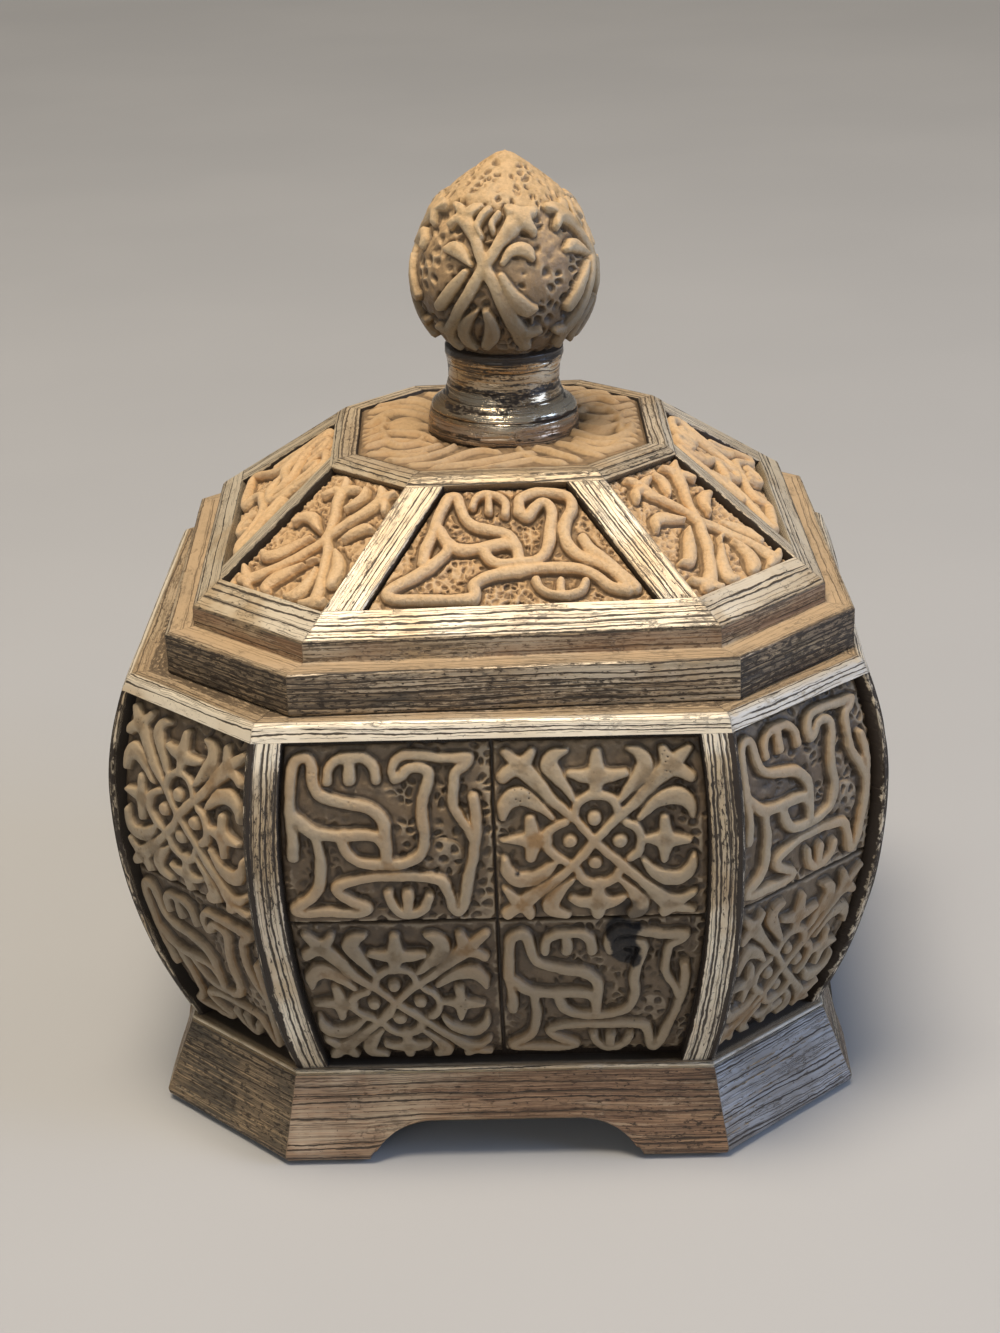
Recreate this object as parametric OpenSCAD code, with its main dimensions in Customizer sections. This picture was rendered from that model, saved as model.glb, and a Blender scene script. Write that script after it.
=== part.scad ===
// Eight-sided cast trinket box with a lift-off lid and an egg-shaped knob.
// Frame: millimetres, +Z up, origin at the centre of the foot's resting plane.
// The four wide sides face +X, -X, +Y and -Y, and a narrower side stands at
// 45 degrees between each two of them.

/* [Body] */
// Width over the wide sides at the belly
belly_w = 114.8; // [110:0.2:120]
// Height of the widest point
belly_z = 52; // [50:0.5:54]
// Radius of the side's curve below the belly
curve_low = 82; // [78:1:90]
// Radius of the side's curve above the belly
curve_up = 48; // [45:1:54]
// How much further the corner sides stand from the axis than the wide sides
corner_out = 7.6; // [7.2:0.1:8]
// Height of the rim, where the lid rests
rim_z = 71.1; // [70:0.1:73]
// Height of the plain band under the rim's top
rim_band = 2.5; // [2:0.1:3]
// Width of the upright ribs on the wide sides
rib_w = 4.4; // [3.5:0.1:6]
// Width of the upright ribs on the corner sides
rib_corner = 1; // [0.6:0.1:1.6]
// Depth of the panels behind the ribs
panel_in = 2.3; // [1.5:0.1:2.6]
// Height of the level joint between the two rows of tiles
tile_z = 40.4; // [38:0.2:43]
// Wall thickness, measured at the ribs
wall = 5.2; // [4.6:0.1:6]
// Height of the inside floor
floor_z = 16; // [15.5:0.5:18]
// Width of the mouth over the wide sides
mouth_w = 91; // [91:0.5:93]

/* [Foot] */
// Width of the foot where it stands
foot_w = 106.1; // [104:0.1:108]
// Width of the foot at its top
foot_top_w = 97.4; // [96.6:0.1:98.4]
// Height of the foot
foot_h = 12.6; // [12:0.1:13]
// Height of the thin moulding above the foot
bead_h = 0.8; // [0.5:0.1:1]
// Width of the arch in each wide side of the foot
arch_w = 40.6; // [36:0.2:44]
// Height of the arch
arch_h = 6.3; // [5:0.1:7]
// Radius of the arch's ends
arch_r = 11; // [9:0.5:13]
// Depth of the hollow under the base
under_h = 9.6; // [8:0.1:10.4]

/* [Lid] */
// Width of the lid's slab
slab_w = 100; // [98.5:0.5:101]
// Thickness of the slab
slab_h = 6.4; // [5.5:0.1:7]
// Width of the step that the slope starts from
step_w = 92; // [91:0.5:93]
// Height of the step
step_h = 3.1; // [2.5:0.1:3.5]
// Height of the sloping part
slope_h = 16.8; // [16:0.1:18]
// Width over the wide sides at the top of the slope
top_w = 48.6; // [47:0.2:50]
// Width over the corner sides at the top of the slope
top_corner_w = 53.2; // [52:0.2:54]
// Depth of the sloping panels
slope_in = 1.6; // [1:0.1:2]
// Width of the ribs along the hips, seen from above
hip_rib = 5.6; // [4:0.1:6]
// Width of the locating ring under the lid
ring_w = 85; // [83:0.5:85]
// Height of the locating ring
ring_h = 4.5; // [3.5:0.1:5.5]
// Wall thickness of the locating ring
ring_t = 4; // [3:0.1:5]
// How far the lid is turned in its play
lid_turn = 2.25; // [0:0.25:2.25]
// How far the lid is pushed towards +X in its play
lid_shift = 1.4; // [0:0.1:1.5]

/* [Knob] */
// Radius of the knob's base disc
disc_r = 11.6; // [11:0.1:12]
// Radius of the neck
neck_r = 8.5; // [8:0.1:8.8]
// Radius of the egg
egg_r = 14.4; // [14:0.1:15]
// Height of the egg's centre above the knob's seat
egg_z = 24.1; // [24:0.1:24.5]
// Height of the knob
knob_h = 42.8; // [42:0.1:44]
// How far the knob leans towards +X, in degrees
knob_lean = 2.1; // [0:0.1:3]
// How far the knob's base stands off the lid's centre
knob_off = 0.4; // [0:0.1:1]

/* [Hidden] */
$fn = 180;

half = belly_w / 2;
mouth = mouth_w / 2;
panel_z0 = foot_h + bead_h;
panel_z1 = rim_z - rim_band;
lid_z1 = rim_z + slab_h;
lid_z2 = lid_z1 + step_h;
lid_z3 = lid_z2 + slope_h;
seat_z = lid_z3 - 0.5;
long = 170;

// Distance from the axis to a wide side at height z
function side(z) = z < belly_z
    ? half - curve_low + sqrt(curve_low * curve_low - (belly_z - z) * (belly_z - z))
    : half - curve_up + sqrt(curve_up * curve_up - (z - belly_z) * (z - belly_z));
// Half width of a wide side, and of a corner side, at height z
function wide_half(z) = sqrt(2) * (side(z) + corner_out) - side(z);
function corner_half(z) = sqrt(2) * side(z) - (side(z) + corner_out);
// Radius of an arc that falls s sideways over a height h
function arc_r(h, s) = (h * h + s * s) / (2 * s);

// An upright section, given in x and z, run through along Y
module through() {
    rotate([90, 0, 0]) linear_extrude(height = long, center = true) children();
}

// The part common to the wide section, seen along Y and along X,
// and to the corner section, seen along both diagonals
module eight() {
    intersection() {
        through() children(0);
        rotate([0, 0, 90]) through() children(0);
        rotate([0, 0, 45]) through() children(1);
        rotate([0, 0, 135]) through() children(1);
    }
}

// Section of the bulging side: out is the extra distance of a corner side and
// t the depth below the outer face
module bulge(out, t) {
    low_x = half + out - curve_low;
    up_x = half + out - curve_up;
    union() {
        intersection() {
            translate([-long / 2, foot_h - 4]) square([long, belly_z - foot_h + 4]);
            translate([low_x, belly_z]) circle(r = curve_low - t);
            translate([-low_x, belly_z]) circle(r = curve_low - t);
        }
        intersection() {
            translate([-long / 2, belly_z - 1]) square([long, rim_z + 1 - belly_z]);
            union() {
                translate([up_x, belly_z]) circle(r = curve_up - t);
                translate([-up_x, belly_z]) circle(r = curve_up - t);
            }
        }
    }
}

// The outer side, cut level at the foot and with a small bevel at the rim
module outer_section(out) {
    x1 = side(rim_z) + out;
    intersection() {
        bulge(out, 0);
        polygon([[-long / 2, foot_h - 1], [long / 2, foot_h - 1], [long / 2, rim_z - 0.7],
                 [x1 + 0.15, rim_z - 0.7], [x1 - 0.6, rim_z], [-x1 + 0.6, rim_z],
                 [-x1 - 0.15, rim_z - 0.7], [-long / 2, rim_z - 0.7]]);
    }
}

// The inside, which follows the wall and draws in to the mouth
module inside_section(out) {
    m = mouth + out;
    intersection() {
        union() {
            bulge(out, wall);
            translate([-m, rim_z - 6]) square([2 * m, 8]);
        }
        polygon([[-long / 2, floor_z], [long / 2, floor_z], [long / 2, rim_z - 14],
                 [m + 8, rim_z - 12], [m, rim_z - 5], [m, rim_z + 1],
                 [-m, rim_z + 1], [-m, rim_z - 5], [-m - 8, rim_z - 12], [-long / 2, rim_z - 14]]);
    }
}

module foot_section(out) {
    b = foot_w / 2 + out;
    t = foot_top_w / 2 + out;
    polygon([[-b + 1.5, 0], [b - 1.5, 0], [b - 0.5, 0.5], [b - 0.1, 1.6], [t, foot_h],
             [-t, foot_h], [-b + 0.1, 1.6], [-b + 0.5, 0.5]]);
}

module bead_section(out) {
    t = foot_top_w / 2 + out;
    polygon([[-t + 0.5, foot_h - 0.5], [t - 0.5, foot_h - 0.5], [t - 0.5, foot_h],
             [t - 0.1, foot_h + 0.2], [t - 0.1, panel_z0], [-t + 0.1, panel_z0],
             [-t + 0.1, foot_h + 0.2], [-t + 0.5, foot_h]]);
}

// Outline of a panel: h0, h1 and h2 are its half widths at the bottom,
// at the belly and at the top
module panel_outline(h0, h1, h2) {
    lr = arc_r(belly_z - panel_z0, h1 - h0);
    ur = arc_r(panel_z1 - belly_z, h1 - h2);
    intersection() {
        translate([-h1 - 1, panel_z0]) square([2 * h1 + 2, belly_z - panel_z0]);
        translate([h1 - lr, belly_z]) circle(r = lr);
        translate([lr - h1, belly_z]) circle(r = lr);
    }
    intersection() {
        translate([-h1 - 1, belly_z]) square([2 * h1 + 2, panel_z1 - belly_z]);
        translate([h1 - ur, belly_z]) circle(r = ur);
        translate([ur - h1, belly_z]) circle(r = ur);
    }
}

// The space in front of one panel, on the side that faces -Y
module panel_space(out, h0, h1, h2) {
    intersection() {
        translate([0, -25, 0]) rotate([90, 0, 0]) linear_extrude(height = 50)
            panel_outline(h0, h1, h2);
        rotate([0, 0, 90]) through() difference() {
            translate([-long / 2, 5]) square([long, rim_z]);
            bulge(out, panel_in);
        }
    }
}

// Shallow joints between the tiles of one panel, cut into its face
module tile_joints(out, n, h) {
    intersection() {
        union() {
            translate([-h, -90, tile_z - 0.3]) cube([2 * h, 60, 0.6]);
            if (n > 1) translate([-0.3, -90, panel_z0 + 0.5]) cube([0.6, 60, panel_z1 - panel_z0 - 1]);
        }
        rotate([0, 0, 90]) through() difference() {
            translate([-long / 2, 5]) square([long, rim_z]);
            bulge(out, panel_in + 0.4);
        }
    }
}

// Half of the arch's outline is flat on top and ends in an arc
module arch_outline() {
    run = sqrt(arch_r * arch_r - (arch_r - arch_h) * (arch_r - arch_h));
    flat = arch_w / 2 - run;
    intersection() {
        translate([-arch_w, -1]) square([2 * arch_w, arch_h + 1]);
        union() {
            translate([-flat, -1]) square([2 * flat, arch_h + 1]);
            for (s = [-1, 1]) {
                translate([s * flat, arch_h - arch_r]) circle(r = arch_r);
            }
            translate([-arch_w / 2, -1]) square([arch_w, 1]);
        }
    }
}

module body() {
    color([0.70, 0.64, 0.53]) difference() {
        union() {
            eight() { foot_section(0); foot_section(corner_out); }
            eight() { bead_section(0); bead_section(corner_out); }
            eight() { outer_section(0); outer_section(corner_out); }
        }
        // the inside and the mouth
        eight() { inside_section(0); inside_section(corner_out); }
        // the panels on all eight sides
        for (a = [0 : 90 : 270]) rotate([0, 0, a]) {
            panel_space(0, wide_half(panel_z0) - rib_w, wide_half(belly_z) - rib_w,
                        wide_half(panel_z1) - rib_w);
            tile_joints(0, 2, wide_half(tile_z) - rib_w - 0.5);
        }
        for (a = [45 : 90 : 315]) rotate([0, 0, a]) {
            panel_space(corner_out, corner_half(panel_z0) - rib_corner,
                        corner_half(belly_z) - rib_corner, corner_half(panel_z1) - rib_corner);
            tile_joints(corner_out, 1, corner_half(tile_z) - rib_corner - 0.5);
        }
        // the hollow under the base, and the arches that leave four bracket feet
        eight() {
            translate([-foot_top_w / 2 + 5, -1]) square([foot_top_w - 10, under_h + 1]);
            translate([-foot_top_w / 2 - corner_out + 5, -1])
                square([foot_top_w + 2 * corner_out - 10, under_h + 1]);
        }
        through() arch_outline();
        rotate([0, 0, 90]) through() arch_outline();
    }
}

// Outer section of the lid: slab, step and slope
module lid_section(slab, step, top) {
    polygon([[-slab, rim_z], [slab, rim_z], [slab, lid_z1], [step, lid_z1], [step, lid_z2],
             [top, lid_z3], [-top, lid_z3], [-step, lid_z2], [-step, lid_z1], [-slab, lid_z1]]);
}

// Hollow of the lid, open downwards through the locating ring
module lid_hollow_section(out, top) {
    r = ring_w / 2 - ring_t + out;
    polygon([[-r, rim_z - ring_h - 1], [r, rim_z - ring_h - 1], [r, rim_z + 2.5],
             [top, rim_z + 19], [-top, rim_z + 19], [-r, rim_z + 2.5]]);
}

// The space in front of one sloping panel that faces -Y: d0 and d1 are its
// lower and upper edges' distances from the axis, h0 and h1 its half widths
// there, step and top the slope's own ends
module slope_space(step, top, d0, d1, h0, h1) {
    // depth measured square to the slope
    drop = slope_in * sqrt(slope_h * slope_h + (step - top) * (step - top)) / (step - top);
    intersection() {
        translate([0, 0, lid_z2 - 2]) linear_extrude(height = slope_h + 6)
            polygon([[-h0, -d0], [h0, -d0], [h1, -d1], [-h1, -d1]]);
        rotate([0, 0, 90]) through()
            polygon([[-step - 10, lid_z2 - drop - 10 * slope_h / (step - top)],
                     [-top + 6, lid_z3 - drop + 6 * slope_h / (step - top)],
                     [-top + 6, lid_z3 + 20], [-step - 10, lid_z3 + 20]]);
    }
}

module lid_at_centre() {
    slab = slab_w / 2;
    step = step_w / 2;
    top = top_w / 2;
    top_c = top_corner_w / 2;
    // plan widths of the bands below and above the sloping panels
    low_band = 4;
    top_band = 1.5;
    // half width of a wide and of a corner slope at its foot and at its top
    wide_0 = sqrt(2) * (step + corner_out - 0.4) - step;
    wide_1 = sqrt(2) * top_c - top;
    cor_0 = sqrt(2) * step - (step + corner_out - 0.4);
    cor_1 = sqrt(2) * top - top_c;
    k0 = low_band / (step - top);
    k1 = top_band / (step - top);
    difference() {
        union() {
            eight() {
                lid_section(slab, step, top);
                lid_section(slab + corner_out, step + corner_out - 0.4, top_c);
            }
            // locating ring
            eight() {
                translate([-ring_w / 2, rim_z - ring_h]) square([ring_w, ring_h + 1]);
                translate([-ring_w / 2 - corner_out + 0.1, rim_z - ring_h])
                    square([ring_w + 2 * corner_out - 0.2, ring_h + 1]);
            }
        }
        eight() {
            lid_hollow_section(0, 16);
            lid_hollow_section(corner_out - 0.4, 18);
        }
        for (a = [0 : 90 : 270]) rotate([0, 0, a])
            slope_space(step, top, step - low_band, top + top_band,
                        wide_0 + (wide_1 - wide_0) * k0 - hip_rib,
                        wide_1 + (wide_0 - wide_1) * k1 - hip_rib);
        for (a = [45 : 90 : 315]) rotate([0, 0, a])
            slope_space(step + corner_out - 0.4, top_c, step + corner_out - 0.4 - low_band,
                        top_c + top_band,
                        cor_0 + (cor_1 - cor_0) * k0 - 0.4,
                        cor_1 + (cor_0 - cor_1) * k1 - 0.4);
        // sunk top panel, on which the knob sits
        eight() {
            translate([-top + 2.5, seat_z]) square([top_w - 5, 2]);
            translate([-top_c + 2.6, seat_z]) square([top_corner_w - 5.2, 2]);
        }
    }
}

// The lid's place in its play
module lid_place() {
    translate([lid_shift, 0, 0]) rotate([0, 0, lid_turn]) children();
}

module lid() {
    color([0.80, 0.70, 0.54]) lid_place() lid_at_centre();
}

// Half of the knob's section: base disc with a rounded shoulder, neck and
// collar, round egg and pointed top
module knob_section() {
    polygon([[0, -1], [disc_r, -1], [disc_r, 0.8], [disc_r - 0.3, 3.4], [disc_r - 0.6, 4.4],
             [disc_r - 1.6, 5.2], [neck_r + 0.6, 6.2], [neck_r, 8.2], [neck_r + 0.1, 10.5],
             [neck_r + 0.5, 12.4], [neck_r + 0.5, 14], [0, 14]]);
    intersection() {
        translate([0, egg_z]) circle(r = egg_r);
        translate([0, 12]) square([egg_r + 1, knob_h]);
    }
    polygon([[0, egg_z], [egg_r * 0.9, egg_z + egg_r * 0.42], [egg_r * 0.78, egg_z + egg_r * 0.68],
             [egg_r * 0.6, egg_z + egg_r * 0.87], [egg_r * 0.3, knob_h - 2.6], [0.6, knob_h],
             [0, knob_h]]);
}

// The knob leans a little, and its base is cut level where it is glued on
module knob() {
    color([0.76, 0.66, 0.50]) lid_place() translate([knob_off, 0, seat_z]) intersection() {
        rotate([0, knob_lean, 0]) rotate_extrude() knob_section();
        translate([-30, -30, 0]) cube([60, 60, knob_h + 10]);
    }
}

body();
lid();
knob();
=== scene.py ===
import math

import bpy
import numpy as np
from mathutils import Matrix, Vector


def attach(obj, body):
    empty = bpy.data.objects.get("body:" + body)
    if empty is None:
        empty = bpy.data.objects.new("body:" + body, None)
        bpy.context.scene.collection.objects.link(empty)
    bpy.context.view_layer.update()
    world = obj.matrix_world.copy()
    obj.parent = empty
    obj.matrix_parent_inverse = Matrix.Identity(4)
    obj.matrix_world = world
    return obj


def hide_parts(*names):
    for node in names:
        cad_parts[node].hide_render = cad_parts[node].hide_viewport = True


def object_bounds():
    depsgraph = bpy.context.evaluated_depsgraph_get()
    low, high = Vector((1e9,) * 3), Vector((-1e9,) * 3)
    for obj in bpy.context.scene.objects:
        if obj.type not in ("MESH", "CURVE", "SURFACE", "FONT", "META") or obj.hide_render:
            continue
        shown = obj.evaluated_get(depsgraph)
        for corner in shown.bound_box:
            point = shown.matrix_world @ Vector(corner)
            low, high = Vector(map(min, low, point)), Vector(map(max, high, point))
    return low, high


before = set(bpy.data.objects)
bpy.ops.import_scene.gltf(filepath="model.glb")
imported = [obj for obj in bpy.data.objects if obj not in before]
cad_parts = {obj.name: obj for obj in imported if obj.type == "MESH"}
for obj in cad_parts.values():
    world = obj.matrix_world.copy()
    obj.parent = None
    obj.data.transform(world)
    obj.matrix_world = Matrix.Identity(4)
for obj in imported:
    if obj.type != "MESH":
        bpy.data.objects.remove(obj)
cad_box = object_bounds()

# ---------------------------------------------------------------- shape of the box, in millimetres
OUT = 7.6           # a corner side stands this much further from the axis
BELLY = 52.0
RIB_W, RIB_C = 4.4, 1.0
SUNK = 2.7          # depth of the panels' bed behind the ribs
Z0, Z1 = 13.4, 68.6  # lower and upper edge of the panels
TILE_Z = 40.4
R2 = math.sqrt(2)
TURN, SHIFT = math.radians(2.25), 1.4
LEAN, KNOB_OFF, SEAT = math.radians(2.1), 0.4, 96.9


def side(z, t=0.0):
    """Distance of a wide side from the axis, t behind its face."""
    z = np.asarray(z, float)
    low = 57.4 - 82 + np.sqrt((82 - t) ** 2 - np.minimum(z - BELLY, 0) ** 2)
    up = 57.4 - 48 + np.sqrt((48 - t) ** 2 - np.maximum(z - BELLY, 0) ** 2)
    return np.where(z < BELLY, low, up)


def wide_half(dw, dc):
    return R2 * dc - dw


def corner_half(dw, dc):
    return R2 * dw - dc


def panel_half(z, corner):
    """Half width of a panel: arcs through its lower edge, the belly and its upper edge."""
    def at(q):
        d = float(side(q))
        return (corner_half(d, d + OUT) - RIB_C) if corner else (wide_half(d, d + OUT) - RIB_W)
    h0, h1, h2 = at(Z0), at(BELLY), at(Z1)
    lo, up = BELLY - Z0, Z1 - BELLY
    rl = (lo * lo + (h1 - h0) ** 2) / (2 * (h1 - h0))
    ru = (up * up + (h1 - h2) ** 2) / (2 * (h1 - h2))
    z = np.clip(np.asarray(z, float), Z0, Z1)
    low = h1 - rl + np.sqrt(rl * rl - np.minimum(z - BELLY, 0) ** 2)
    top = h1 - ru + np.sqrt(ru * ru - np.maximum(z - BELLY, 0) ** 2)
    return np.where(z < BELLY, low, top)


# ---------------------------------------------------------------- noise
def _hash(ix, iy, iz, seed):
    h = (ix.astype(np.int64) * 73856093) ^ (iy.astype(np.int64) * 19349663) ^ (iz.astype(np.int64) * 83492791)
    h = (h ^ (seed * 2654435761)) & 0xFFFFFFFF
    h = ((h ^ (h >> 15)) * 2246822519) & 0xFFFFFFFF
    h = ((h ^ (h >> 13)) * 3266489917) & 0xFFFFFFFF
    return ((h ^ (h >> 16)) & 0xFFFFFF) / 8388607.5 - 1.0


def noise(x, y, z=0.0, seed=0):
    """Smooth value noise from -1 to 1, with one cell a unit."""
    x, y, z = np.broadcast_arrays(np.asarray(x, float), np.asarray(y, float), np.asarray(z, float))
    fx, fy, fz = np.floor(x), np.floor(y), np.floor(z)
    ux, uy, uz = x - fx, y - fy, z - fz
    ux, uy, uz = (u * u * (3 - 2 * u) for u in (ux, uy, uz))
    total = 0
    for a in (0, 1):
        for b in (0, 1):
            for c in (0, 1):
                w = (ux if a else 1 - ux) * (uy if b else 1 - uy) * (uz if c else 1 - uz)
                if c and not np.any(uz):
                    continue
                total = total + w * _hash(fx + a, fy + b, fz + c, seed)
    return total


def fbm(x, y, z=0.0, seed=0, octaves=3, gain=0.5):
    total, amp, norm = 0, 1.0, 0
    for k in range(octaves):
        total = total + amp * noise(x * 2 ** k, y * 2 ** k, z * 2 ** k, seed + 17 * k)
        norm += amp
        amp *= gain
    return total / norm


def cells(x, y, z=0.0, seed=0):
    """Distances to the nearest and the second nearest of one random point a cell."""
    x, y, z = np.broadcast_arrays(np.asarray(x, float), np.asarray(y, float), np.asarray(z, float))
    fx, fy, fz = np.floor(x), np.floor(y), np.floor(z)
    flat = not np.any(z)
    f1 = np.full(x.shape, 9.0)
    f2 = np.full(x.shape, 9.0)
    for a in (-1, 0, 1):
        for b in (-1, 0, 1):
            for c in ((0,) if flat else (-1, 0, 1)):
                px = fx + a + 0.5 + 0.42 * _hash(fx + a, fy + b, fz + c, seed + 1)
                py = fy + b + 0.5 + 0.42 * _hash(fx + a, fy + b, fz + c, seed + 2)
                d = (px - x) ** 2 + (py - y) ** 2
                if not flat:
                    d = d + (fz + c + 0.5 + 0.42 * _hash(fx + a, fy + b, fz + c, seed + 3) - z) ** 2
                d = np.sqrt(d)
                f2 = np.minimum(f2, np.maximum(d, f1))
                f1 = np.minimum(f1, d)
    return f1, f2


def smooth(t):
    t = np.clip(t, 0, 1)
    return t * t * (3 - 2 * t)


def grooves(s, t, seed, period=0.8, run=26.0):
    """Depth from 0 to 1 of the long scratches combed along s, at the place t across."""
    w = t + 0.28 * noise(s / 13.0, t / 3.0, seed * 1.7, 91) + 0.07 * noise(s / 3.1, t / 1.1, seed * 1.3, 92)
    n = noise(w / (period * 0.62), s / run, seed * 3.1, 11)
    m = noise(w / (period * 0.27), s / (run * 0.5), seed * 2.3, 12)
    on = smooth(0.75 + 0.9 * noise(s / 8.0, t / 1.3, seed, 13))
    big = smooth(1 - np.abs(n) / 0.22) * on
    fine = 0.55 * smooth(1 - np.abs(m) / 0.20) * smooth(0.5 + noise(s / 5.0, t / 0.8, seed, 14))
    return np.maximum(big, fine)


# ---------------------------------------------------------------- strokes
def curve(points, per=5):
    """A smooth line through given points, each (x, y, half width)."""
    p = np.array(points, float)
    if len(p) < 3:
        return p
    q = np.vstack([2 * p[0] - p[1], p, 2 * p[-1] - p[-2]])
    out = []
    for i in range(1, len(q) - 2):
        a, b, c, d = q[i - 1], q[i], q[i + 1], q[i + 2]
        for k in range(per):
            t = k / per
            out.append(0.5 * ((2 * b) + (c - a) * t + (2 * a - 5 * b + 4 * c - d) * t * t + (3 * b - a - 3 * c + d) * t ** 3))
    out.append(p[-1])
    return np.array(out)


def field(P, lines, reach=1.2, melt=0.36):
    """Signed distance from the points P to the union of round-ended strokes, and the stroke's own half width there."""
    n = len(P)
    dist = np.full(n, 3.0)
    width = np.ones(n)
    dims = P.shape[1]
    for line in lines:
        # the points near this line, and the hard distance to it
        m = line[:, dims].max() + reach
        near = np.ones(n, bool)
        for k in range(dims):
            near &= (P[:, k] > line[:, k].min() - m) & (P[:, k] < line[:, k].max() + m)
        own_idx = np.nonzero(near)[0]
        Q0 = P[own_idx]
        own = np.full(len(own_idx), 3.0)
        own_w = np.ones(len(own_idx))
        for a, b in zip(line[:-1], line[1:]):
            pa, pb, wa, wb = a[:dims], b[:dims], a[dims], b[dims]
            m = max(wa, wb) + reach
            lo, hi = np.minimum(pa, pb) - m, np.maximum(pa, pb) + m
            close = np.ones(len(Q0), bool)
            for k in range(dims):
                close &= (Q0[:, k] > lo[k]) & (Q0[:, k] < hi[k])
            idx = np.nonzero(close)[0]
            if not len(idx):
                continue
            Q = Q0[idx]
            ab = pb - pa
            t = np.clip(((Q - pa) @ ab) / max(ab @ ab, 1e-9), 0, 1)
            w = wa + (wb - wa) * t
            d = np.linalg.norm(Q - pa - t[:, None] * ab, axis=1) - w
            better = d < own[idx]
            own[idx[better]] = d[better]
            own_w[idx[better]] = w[better]
        # the lines run into each other with a fillet
        hit = own < 2.5
        idx, own, own_w = own_idx[hit], own[hit], own_w[hit]
        old = dist[idx]
        f = np.clip(0.5 + 0.5 * (old - own) / melt, 0, 1)
        width[idx] = np.where(own < old, own_w, width[idx])
        dist[idx] = old * (1 - f) + own * f - melt * f * (1 - f)
    return dist, width


def blur(h, sigma):
    """Gaussian blur of a grid, sigma in cells."""
    pad = int(3 * sigma) + 1
    g = np.pad(h, pad, mode="edge")
    ky = np.fft.fftfreq(g.shape[0])[:, None]
    kx = np.fft.rfftfreq(g.shape[1])[None, :]
    k = np.exp(-2 * (math.pi * sigma) ** 2 * (kx * kx + ky * ky))
    g = np.fft.irfft2(np.fft.rfft2(g) * k, s=g.shape)
    return g[pad:-pad, pad:-pad]


# ---------------------------------------------------------------- meshes
def quads(rows, cols, closed_cols=False, first=0):
    i = np.arange(rows * cols).reshape(rows, cols) + first
    if closed_cols:
        i = np.hstack([i, i[:, :1]])
    return np.stack([i[:-1, :-1], i[1:, :-1], i[1:, 1:], i[:-1, 1:]], -1).reshape(-1, 4)


def fan(ring, centre, turn=False):
    a, b = ring, np.roll(ring, -1)
    c = np.full(len(ring), centre)
    return np.stack([b, a, c] if turn else [a, b, c], -1)


def raw_mesh(name, co, faces, attrs):
    """A mesh from points, lists of quads and triangles, and point attributes."""
    me = bpy.data.meshes.new(name)
    me.vertices.add(len(co))
    me.vertices.foreach_set("co", np.asarray(co, np.float32).ravel())
    loops = np.concatenate([f.ravel() for f in faces]).astype(np.int32)
    sizes = np.concatenate([np.full(len(f), f.shape[1]) for f in faces])
    start = np.concatenate([[0], np.cumsum(sizes)[:-1]]).astype(np.int32)
    me.loops.add(len(loops))
    me.loops.foreach_set("vertex_index", loops)
    me.polygons.add(len(sizes))
    me.polygons.foreach_set("loop_start", start)
    me.update(calc_edges=True)
    for key, val in attrs.items():
        val = np.asarray(val, np.float32)
        if val.ndim == 2:
            me.attributes.new(key, "FLOAT_VECTOR", "POINT").data.foreach_set("vector", val.ravel())
        else:
            me.attributes.new(key, "FLOAT", "POINT").data.foreach_set("value", val)
    return me


def thin(me, triangles):
    """The same mesh with about that many triangles, fewest where it is flat. Its attributes go with it."""
    have = sum(len(p.vertices) - 2 for p in me.polygons)
    if have <= triangles:
        return me
    o = bpy.data.objects.new("thin", me)
    bpy.context.scene.collection.objects.link(o)
    m = o.modifiers.new("thin", "DECIMATE")
    m.ratio = triangles / have
    deps = bpy.context.evaluated_depsgraph_get()
    out = bpy.data.meshes.new_from_object(o.evaluated_get(deps))
    bpy.data.objects.remove(o)
    bpy.data.meshes.remove(me)
    return out


def points(me):
    co = np.zeros(len(me.vertices) * 3, np.float32)
    me.vertices.foreach_get("co", co)
    return co.reshape(-1, 3).astype(float)


LOW = np.array(cad_box[0], float)
HIGH = np.array(cad_box[1], float)


def piece(name, me, co, material, body, nodes=(), sharp=None):
    """Sets the mesh at the points co, in millimetres, inside the box of the frame, and lets it ride on its body."""
    co = np.clip(np.asarray(co, float) * 0.001, LOW + 2e-6, HIGH - 2e-6)
    me.vertices.foreach_set("co", co.astype(np.float32).ravel())
    me.polygons.foreach_set("use_smooth", np.ones(len(me.polygons), bool))
    me.update()
    if sharp:
        me.set_sharp_from_angle(angle=math.radians(sharp))
    me.materials.clear()
    me.materials.append(material)
    me.name = name
    o = bpy.data.objects.new(name, me)
    bpy.context.scene.collection.objects.link(o)
    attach(o, body)
    if nodes:
        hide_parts(*nodes)
    return o


def turned(xy, angle):
    c, s = math.cos(angle), math.sin(angle)
    return np.stack([c * xy[..., 0] - s * xy[..., 1], s * xy[..., 0] + c * xy[..., 1]], -1)


def lid_place(co):
    xy = turned(co[:, :2], TURN)
    return np.column_stack([xy[:, 0] + SHIFT, xy[:, 1], co[:, 2]])


def knob_place(co):
    c, s = math.cos(LEAN), math.sin(LEAN)
    x = c * co[:, 0] + s * co[:, 2]
    z = -s * co[:, 0] + c * co[:, 2]
    return lid_place(np.column_stack([x + KNOB_OFF, co[:, 1], np.maximum(z, 0) + SEAT]))


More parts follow.
